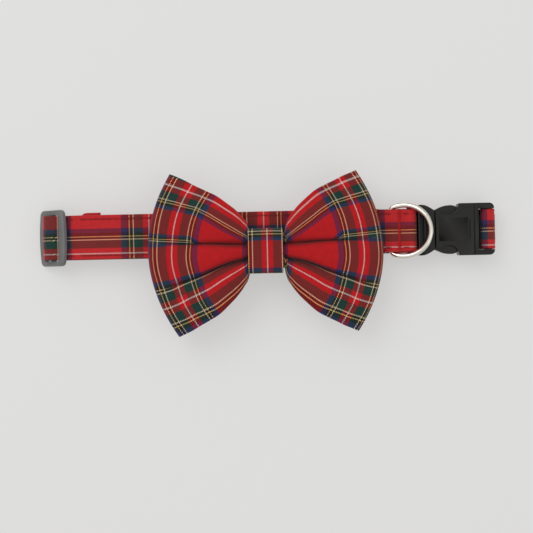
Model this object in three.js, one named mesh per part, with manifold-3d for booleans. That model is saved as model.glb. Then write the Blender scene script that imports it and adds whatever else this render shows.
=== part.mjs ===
// A pet collar with a bow tie, buckled and lying flat on a surface, in millimetres with +Z up.
// +X runs along the strap towards the buckle, +Y is the collar's upper edge, and z = 0 is the surface.
// Cloth hangs together as folded layers: two hidden layers below, the neck's gap, the front run, the bow.
import * as THREE from "three";
import { mergeVertices } from "three/addons/utils/BufferGeometryUtils.js";
import Module from "manifold-3d";

const wasm = await Module();
wasm.setup();

// Whole collar
const OVERALL_LENGTH = 205;
const CLEARANCE = 0.3;
const NECK_GAP = 6;
const SAME_POINT = 0.01;
const ARC_STEP = THREE.MathUtils.degToRad(18);

// Strap
const STRAP_WIDTH = 20;
const STRAP_THICKNESS = 1.4;
const STRAP_OFFSET = 9.1;
const TAPER_LENGTH = 6;
const SEWN_END_LENGTH = 8;
const SLIDER_FLAP_LENGTH = 20;
const FLAP_BEND = 3;
const RUN_BEND = 4;
const RETURN_BEND = 6;
const SOFT_BEND = 3;
const SLOT_BEND = 2.4;
const STITCH_BEND = 1;
const RIGHT_FOLD_BEND = 4.4;

// Slider
const SLIDER_TILT = THREE.MathUtils.degToRad(42);
const SLIDER_WIDTH = 25.3;
const SLIDER_END_BAR = 3;
const SLIDER_CENTRE_BAR = 2.4;
const SLIDER_RAIL = 2.35;

// D-ring
const RING_WIRE = 2.4;
const RING_INSIDE = 19.5;
const RING_TO_BUCKLE_BAR = 8.4;
const RING_STRAIGHT_SIDE = 7.2;
const RING_CORNER = 2;
const RING_REST_TILT = THREE.MathUtils.degToRad(20);
const RING_BAR_RISE = 0.5;
const RING_SIDES = 10;
const RING_CURVE_STEPS = 9;

// Buckle
const BUCKLE_WIDTH = 23.3;
const FEMALE_LENGTH = 26.4;
const FEMALE_THICKNESS = 8;
const FEMALE_WALL = 1.5;
const FEMALE_WINDOW = 6.5;
const FEMALE_STRAP_WIDTH = 18.1;
const END_BAR = 3.2;
const END_RAIL_LIP = 0.9;
const PANEL_LENGTH = 12.9;
const PANEL_WIDTH = 10.4;
const PANEL_DEPTH = 0.4;
const GROOVE_WIDTH = 0.5;
const GROOVE_DEPTH = 0.4;
const CORNER_ROUNDING = 2;
const MALE_THICKNESS = 6.4;
const MALE_BASE_LENGTH = 7.1;
const MALE_BAR = 2.6;
const MALE_RAIL_THICKNESS = 1.5;
const MALE_ARM_LENGTH = 13;
const MALE_ARM_WIDTH = 4.2;
const MALE_TONGUE_WIDTH = 5;

// Bow
const BOW_LENGTH = 104.6;
const BOW_TIP_SPAN = 82;
const BOW_HEIGHT = 72;
const BOW_WALL = 1.5;
const WING_HOLLOW = 5.2;
const WING_CROWN = 2.4;
const PINCH_GAP = 0.6;
const TIP_DROOP = 2.2;
const FOLD_SPREAD = 0.042;
const KNOT_WIDTH = 15.2;
const KNOT_HEIGHT = 19.9;
const KNOT_WALL = 1.4;
const KNOT_CROWN = 0.6;
const KNOT_ROUNDING = 2;
const KNOT_OFFSET = 1.3;
const KNOT_STATIONS = [-1, -0.5, 0, 0.5, 1];

// Elastic loops that hold the bow
const ELASTIC_SPACING = 40;
const ELASTIC_WIDTH = 8;
const ELASTIC_THICKNESS = 0.8;

// One wing from the knot's edge outwards. along is the share of the way to the outer fold, height the share
// of the bow's half height, hollow the share of the wing's full hollow, crown the share of the lobes' full
// crown, and upper and lower are where the two pleats run between the wing's lower (-1) and upper (1) edges.
const WING_SECTIONS = [
  { along: 0, height: 0.2, hollow: 0, crown: 1, upper: 0.48, lower: -0.48 },
  { along: 0.03, height: 0.33, hollow: 0.1, crown: 1, upper: 0.4, lower: -0.42 },
  { along: 0.1, height: 0.45, hollow: 0.3, crown: 0.98, upper: 0.3, lower: -0.33 },
  { along: 0.2, height: 0.56, hollow: 0.6, crown: 0.95, upper: 0.22, lower: -0.27 },
  { along: 0.32, height: 0.65, hollow: 0.9, crown: 0.88, upper: 0.19, lower: -0.28 },
  { along: 0.47, height: 0.74, hollow: 1, crown: 0.78, upper: 0.17, lower: -0.32 },
  { along: 0.62, height: 0.81, hollow: 1, crown: 0.66, upper: 0.16, lower: -0.36 },
  { along: 0.77, height: 0.87, hollow: 1, crown: 0.54, upper: 0.16, lower: -0.39 },
  { along: 0.9, height: 0.925, hollow: 1, crown: 0.45, upper: 0.16, lower: -0.42 },
  { along: 1, height: 0.96, hollow: 1, crown: 0.4, upper: 0.16, lower: -0.43 },
];
const LOBE_STEPS = 5;
const FOLD_STEPS = 6;
const CORNER_STEPS = 3;
const BAR_SIDES = 16;

// One side of the female half seen from above, from its mouth to its end. along is the share of its length,
// half the share of its half width: the scallop that bares the release tab, then the full body.
const FEMALE_SIDE = [
  { along: 0, half: 0.75 },
  { along: 0.06, half: 0.7 },
  { along: 0.13, half: 0.65 },
  { along: 0.22, half: 0.61 },
  { along: 0.3, half: 0.655 },
  { along: 0.36, half: 0.77 },
  { along: 0.385, half: 0.9 },
  { along: 0.4, half: 1 },
];

// The outer edge of the male half's arm, which bulges out as the release tab and ends in a narrow tip.
const MALE_ARM = [
  { along: 0, half: 0.72 },
  { along: 0.2, half: 0.8 },
  { along: 0.37, half: 0.885 },
  { along: 0.6, half: 0.935 },
  { along: 0.8, half: 0.92 },
  { along: 0.86, half: 0.89 },
  { along: 0.9, half: 0.82 },
  { along: 1, half: 0.72 },
];

// The male half's base, from its bar end to the shoulders where it meets the female half.
const MALE_SHOULDER = [
  { along: 0.4, half: 1 },
  { along: 0.62, half: 0.96 },
  { along: 0.82, half: 0.87 },
  { along: 1, half: 0.75 },
];

// Heights of the layers
const halfStrap = STRAP_THICKNESS / 2;
const layerPitch = STRAP_THICKNESS + CLEARANCE;
const lowerZ = halfStrap;
const returnZ = lowerZ + layerPitch;
const flapZ = returnZ + layerPitch;
const backTop = returnZ + halfStrap;
const frontZ = backTop + NECK_GAP + halfStrap;
const frontTop = frontZ + halfStrap;
const besideWire = CLEARANCE + halfStrap;

// Places along the collar
const rightEnd = OVERALL_LENGTH / 2;
const leftEnd = -OVERALL_LENGTH / 2;
const buckleBottom = backTop + CLEARANCE;
const buckleZ = buckleBottom + FEMALE_THICKNESS / 2;
const endBarX = rightEnd - halfStrap - besideWire - END_BAR / 2;
const femaleRight = endBarX + END_BAR / 2 + END_RAIL_LIP;
const femaleLeft = femaleRight - FEMALE_LENGTH;
const windowLeft = femaleRight - FEMALE_WINDOW;
const maleRight = femaleLeft - CLEARANCE;
const maleBaseLeft = maleRight - MALE_BASE_LENGTH;
const maleBarX = maleBaseLeft - 2 * CLEARANCE - STRAP_THICKNESS - MALE_BAR / 2 - CLEARANCE;
const ringBarX = maleBarX - RING_TO_BUCKLE_BAR;
const ringBarZ = buckleZ + RING_BAR_RISE;
const pocketWidth = RING_INSIDE - 2 * CLEARANCE;

// Slider places: three parallel bars in a plane that tilts up to the right
const sliderPitch = SLIDER_CENTRE_BAR / 2 + 2 * STRAP_THICKNESS + 3 * CLEARANCE + SLIDER_END_BAR / 2;
const sliderReach = { x: sliderPitch * Math.cos(SLIDER_TILT), z: sliderPitch * Math.sin(SLIDER_TILT) };
const centreBar = {
  x: leftEnd + SLIDER_END_BAR / 2 + sliderReach.x,
  z: CLEARANCE + SLIDER_END_BAR / 2 + sliderReach.z,
};
const meetingX = centreBar.x + SLOT_BEND;
const topBar = { x: centreBar.x + sliderReach.x, z: centreBar.z + sliderReach.z };

const colours = {
  tartan: new THREE.MeshStandardMaterial({ color: 0xb02a2a, roughness: 0.85, metalness: 0 }),
  bowTartan: new THREE.MeshStandardMaterial({ color: 0xa81e22, roughness: 0.85, metalness: 0 }),
  knotTartan: new THREE.MeshStandardMaterial({ color: 0x8c2428, roughness: 0.85, metalness: 0 }),
  grey: new THREE.MeshStandardMaterial({ color: 0x6e6e70, roughness: 0.35, metalness: 0.1 }),
  black: new THREE.MeshStandardMaterial({ color: 0x2c2a27, roughness: 0.5, metalness: 0 }),
  nickel: new THREE.MeshStandardMaterial({ color: 0xd9d7d0, roughness: 0.15, metalness: 1 }),
  elastic: new THREE.MeshStandardMaterial({ color: 0x1e1e20, roughness: 0.9, metalness: 0 }),
};

// A closed solid from corner points and triangles, turned so that its faces point out
function closedSolid(corners, triangles) {
  const volume = triangles.reduce((sum, [a, b, c]) => {
    const cross = new THREE.Vector3().crossVectors(corners[b], corners[c]);
    return sum + corners[a].dot(cross);
  }, 0);
  const facing = volume < 0 ? triangles.map(([a, b, c]) => [a, c, b]) : triangles;
  const geometry = new THREE.BufferGeometry().setFromPoints(corners);
  geometry.setIndex(facing.flat());
  geometry.computeVertexNormals();
  return geometry;
}

function quad(a, b, c, d) {
  return [
    [a, b, c],
    [a, c, d],
  ];
}

// Joins and cuts
function toManifold(geometry) {
  const bare = geometry.clone();
  bare.deleteAttribute("normal");
  bare.deleteAttribute("uv");
  const merged = mergeVertices(bare);
  const vertProperties = new Float32Array(merged.attributes.position.array);
  const triVerts = new Uint32Array(merged.index.array);
  return new wasm.Manifold(new wasm.Mesh({ numProp: 3, vertProperties, triVerts }));
}

function fromManifold(solid) {
  const { vertProperties, triVerts } = solid.getMesh();
  const geometry = new THREE.BufferGeometry();
  geometry.setAttribute("position", new THREE.BufferAttribute(vertProperties, 3));
  geometry.setIndex(new THREE.BufferAttribute(triVerts, 1));
  geometry.computeVertexNormals();
  return geometry;
}

// A flat outline in XY, as a slab between two heights
function slab(outline, bottom, top) {
  const shape = new THREE.Shape(outline.map(([x, y]) => new THREE.Vector2(x, y)));
  const geometry = new THREE.ExtrudeGeometry(shape, { depth: top - bottom, bevelEnabled: false });
  return toManifold(geometry.translate(0, 0, bottom));
}

function block(x, y, z) {
  const geometry = new THREE.BoxGeometry(x[1] - x[0], y[1] - y[0], z[1] - z[0]);
  return toManifold(geometry.translate((x[0] + x[1]) / 2, (y[0] + y[1]) / 2, (z[0] + z[1]) / 2));
}

// A round bar across the strap
function crossBar(centre, diameter, width) {
  const geometry = new THREE.CylinderGeometry(diameter / 2, diameter / 2, width, BAR_SIDES);
  return toManifold(geometry.translate(centre.x, STRAP_OFFSET, centre.z));
}

// The strap's path in XZ: a belt led round stops, turning left (1) or right (-1) at each
function belt(stops) {
  const headings = stops.slice(1).map((next, i) => {
    const from = stops[i];
    const apart = Math.hypot(next.x - from.x, next.z - from.z);
    const offset = (next.turn * next.radius - from.turn * from.radius) / apart;
    const lean = Math.asin(THREE.MathUtils.clamp(offset, -1, 1));
    return Math.atan2(next.z - from.z, next.x - from.x) - lean;
  });
  const path = [];
  stops.forEach((stop, i) => {
    const incoming = headings[Math.max(0, i - 1)];
    const outgoing = headings[Math.min(headings.length - 1, i)];
    const full = 2 * Math.PI;
    let swing = (((outgoing - incoming) * stop.turn) % full + full) % full;
    if (swing > 0.9 * full) swing -= full;
    const steps = stop.radius === 0 ? 0 : Math.max(1, Math.ceil(Math.abs(swing) / ARC_STEP));
    for (let k = 0; k <= steps; k += 1) {
      const heading = incoming + stop.turn * swing * (steps === 0 ? 0 : k / steps);
      path.push({
        x: stop.x + stop.turn * stop.radius * Math.sin(heading),
        z: stop.z - stop.turn * stop.radius * Math.cos(heading),
      });
    }
  });
  const apart = (a, b) => Math.hypot(a.x - b.x, a.z - b.z);
  return path.filter((point, i) => i === 0 || apart(point, path[i - 1]) > SAME_POINT);
}

// Adds a point wherever the path crosses one of the given places along X
function dividedAt(path, places) {
  return path.flatMap((point, i) => {
    const next = path[i + 1];
    if (!next) return [point];
    const crossed = places
      .map((x) => (x - point.x) / (next.x - point.x))
      .filter((share) => share > 0.001 && share < 0.999)
      .sort((a, b) => a - b);
    const added = crossed.map((share) => ({
      x: point.x + share * (next.x - point.x),
      z: point.z + share * (next.z - point.z),
    }));
    return [point, ...added];
  });
}

// Webbing of the strap's thickness along a path, with a width for each place along X
function webbing(path, widthAt) {
  const corners = [];
  const triangles = [];
  path.forEach((point, i) => {
    const before = path[Math.max(0, i - 1)];
    const after = path[Math.min(path.length - 1, i + 1)];
    const heading = Math.atan2(after.z - before.z, after.x - before.x);
    const half = widthAt(point.x) / 2;
    for (const [side, level] of [[-1, -1], [1, -1], [1, 1], [-1, 1]]) {
      corners.push(
        new THREE.Vector3(
          point.x - level * halfStrap * Math.sin(heading),
          STRAP_OFFSET + side * half,
          point.z + level * halfStrap * Math.cos(heading),
        ),
      );
    }
    if (i === 0) return;
    for (let k = 0; k < 4; k += 1) {
      const next = (k + 1) % 4;
      const now = 4 * i;
      triangles.push(...quad(now - 4 + k, now - 4 + next, now + next, now + k));
    }
  });
  const last = corners.length - 4;
  triangles.push(...quad(3, 2, 1, 0), ...quad(last, last + 1, last + 2, last + 3));
  return closedSolid(corners, triangles);
}

// The strap's width along X where it narrows between two places
function taper(start, end, narrow) {
  return (x) => {
    const share = THREE.MathUtils.clamp((x - start) / (end - start), 0, 1);
    return THREE.MathUtils.lerp(STRAP_WIDTH, narrow, share);
  };
}

// The visible run: sewn end, ring pocket, fold round the male half's bar, run behind the bow, slider
function strapFront() {
  const aroundRing = RING_WIRE / 2 + besideWire;
  const aroundMale = MALE_BAR / 2 + besideWire;
  const stitchX = (ringBarX + RING_WIRE / 2 + maleBarX - MALE_BAR / 2) / 2;
  const stitchZ = (ringBarZ + buckleZ) / 2;
  const stitchGap = layerPitch / 2 + STITCH_BEND;
  const bendX = ringBarX - aroundRing - 2 * SOFT_BEND;
  const sewnZ = frontZ - layerPitch;
  const pastCentre = SLIDER_CENTRE_BAR / 2 + STRAP_THICKNESS + CLEARANCE + besideWire;
  const path = belt([
    { x: bendX - SEWN_END_LENGTH, z: sewnZ, radius: 0, turn: 1 },
    { x: bendX + SOFT_BEND, z: sewnZ - SOFT_BEND, radius: SOFT_BEND, turn: -1 },
    { x: ringBarX, z: ringBarZ, radius: aroundRing, turn: 1 },
    { x: stitchX, z: stitchZ - stitchGap, radius: STITCH_BEND, turn: -1 },
    { x: maleBarX, z: buckleZ, radius: aroundMale, turn: 1 },
    { x: stitchX, z: stitchZ + stitchGap, radius: STITCH_BEND, turn: -1 },
    { x: ringBarX, z: ringBarZ, radius: aroundRing, turn: 1 },
    { x: bendX + SOFT_BEND, z: frontZ + SOFT_BEND, radius: SOFT_BEND, turn: -1 },
    { x: topBar.x + 2 * RUN_BEND, z: frontZ - RUN_BEND, radius: RUN_BEND, turn: 1 },
    { ...topBar, radius: SLIDER_END_BAR / 2 + besideWire, turn: -1 },
    { ...centreBar, radius: pastCentre, turn: 1 },
    { x: centreBar.x, z: lowerZ + SLOT_BEND, radius: SLOT_BEND, turn: 1 },
    { x: meetingX, z: lowerZ, radius: 0, turn: 1 },
  ]);
  const taperEnd = ringBarX - aroundRing;
  const taperStart = taperEnd - TAPER_LENGTH;
  return webbing(dividedAt(path, [taperStart, taperEnd]), taper(taperStart, taperEnd, pocketWidth));
}

// The hidden stretch: under the collar, round the female half's bar, back to the slider's centre bar
function strapBack() {
  const aroundEnd = END_BAR / 2 + besideWire;
  const aroundCentre = SLIDER_CENTRE_BAR / 2 + besideWire;
  const foldX = rightEnd - halfStrap - RIGHT_FOLD_BEND;
  const slotX = endBarX - aroundEnd;
  const cornerBend = besideWire + CLEARANCE;
  const path = belt([
    { x: meetingX + CLEARANCE, z: lowerZ, radius: 0, turn: 1 },
    { x: foldX, z: lowerZ + RIGHT_FOLD_BEND, radius: RIGHT_FOLD_BEND, turn: 1 },
    { x: endBarX, z: buckleZ, radius: aroundEnd, turn: 1 },
    { x: slotX - cornerBend, z: returnZ + cornerBend, radius: cornerBend, turn: -1 },
    { x: topBar.x, z: returnZ + RETURN_BEND, radius: RETURN_BEND, turn: -1 },
    { ...centreBar, radius: aroundCentre, turn: -1 },
    { x: centreBar.x + aroundCentre + FLAP_BEND, z: flapZ + FLAP_BEND, radius: FLAP_BEND, turn: 1 },
    { x: centreBar.x + SLIDER_FLAP_LENGTH, z: flapZ, radius: 0, turn: 1 },
  ]);
  const taperStart = windowLeft - CLEARANCE;
  const taperEnd = taperStart + 3 * CLEARANCE;
  return webbing(dividedAt(path, [taperStart, taperEnd]), taper(taperStart, taperEnd, FEMALE_STRAP_WIDTH));
}

// The grey tri-glide: two side rails with round ends and three round bars between them
function slider() {
  const railLength = 2 * sliderPitch;
  const half = SLIDER_END_BAR / 2;
  const rail = (y) => {
    const outline = new THREE.Shape();
    outline.absarc(railLength / 2, 0, half, -Math.PI / 2, Math.PI / 2, false);
    outline.absarc(-railLength / 2, 0, half, Math.PI / 2, (3 * Math.PI) / 2, false);
    const geometry = new THREE.ExtrudeGeometry(outline, {
      depth: SLIDER_RAIL,
      bevelEnabled: false,
      curveSegments: 8,
    });
    geometry.rotateX(Math.PI / 2).translate(0, y + SLIDER_RAIL, 0);
    geometry.rotateY(-SLIDER_TILT).translate(centreBar.x, STRAP_OFFSET, centreBar.z);
    return toManifold(geometry);
  };
  const barWidth = SLIDER_WIDTH - SLIDER_RAIL;
  const lowBar = { x: centreBar.x - sliderReach.x, z: centreBar.z - sliderReach.z };
  return fromManifold(
    rail(SLIDER_WIDTH / 2 - SLIDER_RAIL)
      .add(rail(-SLIDER_WIDTH / 2))
      .add(crossBar(lowBar, SLIDER_END_BAR, barWidth))
      .add(crossBar(centreBar, SLIDER_CENTRE_BAR, barWidth))
      .add(crossBar(topBar, SLIDER_END_BAR, barWidth)),
  );
}

// The ring's centre line in its own plane: a straight bar, rounded corners, sides and a half circle
function ringRoute() {
  const half = (RING_INSIDE + RING_WIRE) / 2;
  const route = new THREE.Path();
  route.moveTo(0, 0);
  route.lineTo(0, half - RING_CORNER);
  route.absarc(RING_CORNER, half - RING_CORNER, RING_CORNER, Math.PI, Math.PI / 2, true);
  route.absarc(RING_STRAIGHT_SIDE, 0, half, Math.PI / 2, -Math.PI / 2, true);
  route.absarc(RING_CORNER, RING_CORNER - half, RING_CORNER, -Math.PI / 2, -Math.PI, true);
  route.lineTo(0, 0);
  const points = route.getPoints(RING_CURVE_STEPS);
  return points.filter((point, i) => i > 0 && point.distanceTo(points[i - 1]) > SAME_POINT);
}

function dRing() {
  const route = ringRoute();
  const corners = [];
  const triangles = [];
  const radius = RING_WIRE / 2 / Math.cos(Math.PI / RING_SIDES);
  route.forEach((point, i) => {
    const before = route[(i + route.length - 1) % route.length];
    const after = route[(i + 1) % route.length];
    const outward = new THREE.Vector2(after.y - before.y, before.x - after.x).normalize().negate();
    for (let k = 0; k < RING_SIDES; k += 1) {
      const angle = (2 * Math.PI * (k + 0.5)) / RING_SIDES;
      const flat = point.clone().addScaledVector(outward, radius * Math.cos(angle));
      corners.push(new THREE.Vector3(flat.x, flat.y, radius * Math.sin(angle)));
      const next = (k + 1) % RING_SIDES;
      const now = i * RING_SIDES;
      const ahead = ((i + 1) % route.length) * RING_SIDES;
      triangles.push(...quad(now + k, now + next, ahead + next, ahead + k));
    }
  });
  return closedSolid(corners, triangles);
}

// Mirrors a side given as shares into a whole outline, widening from one end to the other
function mirrored(side) {
  const far = [...side].reverse().map(([x, half]) => [x, STRAP_OFFSET + half]);
  return [...side.map(([x, half]) => [x, STRAP_OFFSET - half]), ...far];
}

// The side-release buckle's female half: a flat case open at the mouth, with a fork and bar at its end
function buckleFemale() {
  const half = BUCKLE_WIDTH / 2;
  const side = FEMALE_SIDE.map((row) => [femaleLeft + row.along * FEMALE_LENGTH, row.half * half]);
  for (let k = 0; k <= CORNER_STEPS; k += 1) {
    const angle = (k / CORNER_STEPS) * (Math.PI / 2);
    side.push([
      femaleRight - CORNER_ROUNDING * (1 - Math.sin(angle)),
      half - CORNER_ROUNDING * (1 - Math.cos(angle)),
    ]);
  }
  const top = buckleBottom + FEMALE_THICKNESS;
  const bodyLength = windowLeft - femaleLeft;
  const cavityEnd = femaleLeft + bodyLength - 2 * FEMALE_WALL;
  const cavityHalf = half - FEMALE_WALL;
  const windowHalf = FEMALE_STRAP_WIDTH / 2 + CLEARANCE;
  const across = (size) => [STRAP_OFFSET - size, STRAP_OFFSET + size];
  const panelLeft = femaleLeft + FEMALE_WALL;
  const grooveX = windowLeft - 2 * FEMALE_WALL;
  return fromManifold(
    slab(mirrored(side), buckleBottom, top)
      .subtract(
        block([femaleLeft - FEMALE_WALL, cavityEnd], across(cavityHalf), [
          buckleBottom + FEMALE_WALL,
          top - FEMALE_WALL,
        ]),
      )
      .subtract(
        block([windowLeft, femaleRight + FEMALE_WALL], across(windowHalf), [
          buckleBottom - FEMALE_WALL,
          top + FEMALE_WALL,
        ]),
      )
      .subtract(
        block([panelLeft, panelLeft + PANEL_LENGTH], across(PANEL_WIDTH / 2), [
          top - PANEL_DEPTH,
          top + PANEL_DEPTH,
        ]),
      )
      .subtract(
        block([grooveX, grooveX + GROOVE_WIDTH], across(BUCKLE_WIDTH), [
          top - GROOVE_DEPTH,
          top + GROOVE_DEPTH,
        ]),
      )
      .add(crossBar({ x: endBarX, z: buckleZ }, END_BAR, half + windowHalf)),
  );
}

// The male half: a wedge-sided base with a fork and bar for the strap, two spring arms and a tongue
function buckleMale() {
  const half = BUCKLE_WIDTH / 2;
  const baseStart = maleBarX - MALE_BAR / 2;
  const baseLength = maleRight - baseStart;
  const shoulder = MALE_SHOULDER.map((row) => [baseStart + row.along * baseLength, row.half * half]);
  const side = [[baseStart, half], ...shoulder];
  const bottom = buckleZ - MALE_THICKNESS / 2;
  const top = buckleZ + MALE_THICKNESS / 2;
  const railHalf = MALE_RAIL_THICKNESS / 2;
  const wedge = new THREE.Shape([
    new THREE.Vector2(baseStart, buckleZ - railHalf),
    new THREE.Vector2(maleBaseLeft + MALE_BAR, bottom),
    new THREE.Vector2(maleRight, bottom),
    new THREE.Vector2(maleRight, top),
    new THREE.Vector2(maleBaseLeft + MALE_BAR, top),
    new THREE.Vector2(baseStart, buckleZ + railHalf),
  ]);
  const wedgeGeometry = new THREE.ExtrudeGeometry(wedge, { depth: 2 * BUCKLE_WIDTH, bevelEnabled: false });
  wedgeGeometry.rotateX(Math.PI / 2).translate(0, STRAP_OFFSET + BUCKLE_WIDTH, 0);
  const windowHalf = pocketWidth / 2 + CLEARANCE;
  const window = block(
    [baseStart - MALE_BAR, maleBaseLeft],
    [STRAP_OFFSET - windowHalf, STRAP_OFFSET + windowHalf],
    [bottom - MALE_BAR, top + MALE_BAR],
  );
  const armBottom = buckleBottom + FEMALE_WALL + CLEARANCE;
  const armTop = 2 * buckleZ - armBottom;
  const armStart = maleRight - MALE_RAIL_THICKNESS;
  const arm = (sign) => {
    const outer = MALE_ARM.map((row) => [armStart + row.along * MALE_ARM_LENGTH, row.half * half]);
    const inner = [...outer].reverse().map(([x, y]) => [x, y - MALE_ARM_WIDTH]);
    const outline = [...outer, ...inner].map(([x, y]) => [x, STRAP_OFFSET + sign * y]);
    return slab(sign > 0 ? outline.reverse() : outline, armBottom, armTop);
  };
  const tongue = block(
    [armStart, armStart + MALE_ARM_LENGTH],
    [STRAP_OFFSET - MALE_TONGUE_WIDTH / 2, STRAP_OFFSET + MALE_TONGUE_WIDTH / 2],
    [armBottom, armTop],
  );
  return fromManifold(
    slab(mirrored(side), bottom, top)
      .intersect(toManifold(wedgeGeometry))
      .subtract(window)
      .add(crossBar({ x: maleBarX, z: buckleZ }, MALE_BAR, half + windowHalf))
      .add(arm(1))
      .add(arm(-1))
      .add(tongue),
  );
}

// A closed band of cloth. Each strand is a loop of points with a place along the loop's plane (a, z) and
// across it; half of the wall is laid to each side of the strand, in that plane.
function clothBand(strands, wall, place) {
  const around = strands[0].length;
  const layerSize = around * strands.length;
  const corners = [];
  for (const offset of [wall / 2, -wall / 2]) {
    for (const strand of strands) {
      strand.forEach((point, i) => {
        const before = strand[(i + around - 1) % around];
        const after = strand[(i + 1) % around];
        const run = Math.hypot(after.a - before.a, after.z - before.z);
        const a = point.a + (offset * (after.z - before.z)) / run;
        const z = point.z - (offset * (after.a - before.a)) / run;
        corners.push(place(a, point.across, z));
      });
    }
  }
  const triangles = [];
  for (let i = 0; i < around; i += 1) {
    const next = (i + 1) % around;
    for (let j = 0; j + 1 < strands.length; j += 1) {
      const row = j * around;
      const outer = quad(row + i, row + next, row + around + next, row + around + i);
      triangles.push(...outer);
      triangles.push(...outer.map(([a, b, c]) => [a + layerSize, c + layerSize, b + layerSize]));
    }
    const last = layerSize - around;
    triangles.push(...quad(i, i + layerSize, next + layerSize, next));
    triangles.push(...quad(last + next, last + next + layerSize, last + i + layerSize, last + i));
  }
  return closedSolid(corners, triangles);
}

// Heights of the bow over the surface
const elasticTop = frontTop + CLEARANCE + ELASTIC_THICKNESS;
const bowBackZ = elasticTop + CLEARANCE + BOW_WALL / 2;
const pinchDepth = BOW_WALL + PINCH_GAP;
const pinchLift = KNOT_WALL + CLEARANCE - ELASTIC_THICKNESS;
const pinchBottom = bowBackZ + pinchLift - BOW_WALL / 2;
const pinchTop = pinchBottom + BOW_WALL + pinchDepth + WING_CROWN;
const foldRadius = (WING_HOLLOW + BOW_WALL) / 2;

// Where a share of the wing's width lies: three lobes between the edges and the two pleats
function lanes(section) {
  const bounds = [-1, section.lower, section.upper, 1];
  const rows = [];
  for (let lobe = 0; lobe < 3; lobe += 1) {
    for (let k = lobe === 0 ? 0 : 1; k <= LOBE_STEPS; k += 1) {
      const share = k / LOBE_STEPS;
      const t = THREE.MathUtils.lerp(bounds[lobe], bounds[lobe + 1], share);
      rows.push({ t, crown: Math.sin(Math.PI * share) });
    }
  }
  return rows;
}

// One point of a wing's panel, at a place along X
function panelPoint(section, lane, sign, x, front) {
  const { t, crown } = lanes(section)[lane];
  const bulge = (BOW_LENGTH / 2 - BOW_TIP_SPAN / 2) * (1 - t * t);
  const depth = pinchDepth + section.hollow * (2 * foldRadius - pinchDepth);
  const droop = TIP_DROOP * section.along ** 4 * t * t;
  const lift = pinchLift * (1 - section.hollow);
  const rise = front ? depth + WING_CROWN * section.crown * crown : 0;
  return {
    a: sign * (x + section.along * bulge),
    across: KNOT_OFFSET * (1 - section.along) + (t * section.height * BOW_HEIGHT) / 2,
    z: bowBackZ + lift - droop + rise,
  };
}

function wingPanel(lane, sign, front) {
  const knotEdge = KNOT_WIDTH / 2 + CLEARANCE;
  const foldX = BOW_TIP_SPAN / 2 - foldRadius - BOW_WALL / 2;
  return WING_SECTIONS.map((section) =>
    panelPoint(section, lane, sign, THREE.MathUtils.lerp(knotEdge, foldX, section.along), front),
  );
}

// The round fold at a wing's outer end, from the back panel's last point to the front panel's
function wingFold(low, high, sign) {
  const fold = [];
  for (let k = 1; k < FOLD_STEPS; k += 1) {
    const angle = (Math.PI * k) / FOLD_STEPS;
    fold.push({
      a: low.a + sign * foldRadius * Math.sin(angle),
      across: low.across * (1 + FOLD_SPREAD * Math.sin(angle)),
      z: THREE.MathUtils.lerp(low.z, high.z, (1 - Math.cos(angle)) / 2),
    });
  }
  return fold;
}

// The bow: one flattened loop of cloth, pinched in the middle, with a hollow wing to each side
function bow() {
  const laneCount = 3 * LOBE_STEPS + 1;
  const strands = [];
  for (let lane = 0; lane < laneCount; lane += 1) {
    const wing = (sign) => {
      const back = wingPanel(lane, sign, false);
      const front = wingPanel(lane, sign, true);
      return [...back, ...wingFold(back.at(-1), front.at(-1), sign), ...front.reverse()];
    };
    const middle = (front) => panelPoint(WING_SECTIONS[0], lane, 1, 0, front);
    strands.push([middle(false), ...wing(1), middle(true), ...wing(-1).reverse()]);
  }
  return clothBand(strands, BOW_WALL, (a, across, z) => new THREE.Vector3(a, across, z));
}

// A loop in the YZ plane round a box, with rounded corners
function boxLoop(halfY, halfZ, rounding, centreZ) {
  const loop = [];
  for (const [quarter, y, z] of [[0, 1, 1], [1, -1, 1], [2, -1, -1], [3, 1, -1]]) {
    for (let k = 0; k <= CORNER_STEPS; k += 1) {
      const angle = (Math.PI / 2) * (quarter + k / CORNER_STEPS);
      loop.push({
        a: y * (halfY - rounding) + rounding * Math.cos(angle),
        z: centreZ + z * (halfZ - rounding) + rounding * Math.sin(angle),
      });
    }
  }
  return loop;
}

// The knot: a band of cloth round the bow's pinched middle, crowned between its two edges
function bowKnot() {
  const bottom = pinchBottom - CLEARANCE - KNOT_WALL;
  const top = pinchTop + CLEARANCE + KNOT_WALL;
  const strands = KNOT_STATIONS.map((share) => {
    const crown = KNOT_CROWN * (1 - share * share);
    const loop = boxLoop(
      (KNOT_HEIGHT - KNOT_WALL) / 2,
      (top + crown - bottom - KNOT_WALL) / 2,
      KNOT_ROUNDING,
      (top + crown + bottom) / 2,
    );
    return loop.map((point) => ({ ...point, across: (share * KNOT_WIDTH) / 2 }));
  });
  return clothBand(strands, KNOT_WALL, (a, across, z) => new THREE.Vector3(across, KNOT_OFFSET + a, z));
}

// A plain elastic band round the front run, under a wing
function elasticLoop(x) {
  const halfY = STRAP_WIDTH / 2 + CLEARANCE + ELASTIC_THICKNESS / 2;
  const halfZ = halfStrap + CLEARANCE + ELASTIC_THICKNESS / 2;
  const strands = [-1, 1].map((share) =>
    boxLoop(halfY, halfZ, ELASTIC_THICKNESS, frontZ).map((point) => ({
      ...point,
      across: x + (share * ELASTIC_WIDTH) / 2,
    })),
  );
  const place = (a, across, z) => new THREE.Vector3(across, STRAP_OFFSET + a, z);
  return clothBand(strands, ELASTIC_THICKNESS, place);
}

function piece(name, geometry, material) {
  const mesh = new THREE.Mesh(geometry, material);
  mesh.name = name;
  return mesh;
}

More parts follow.
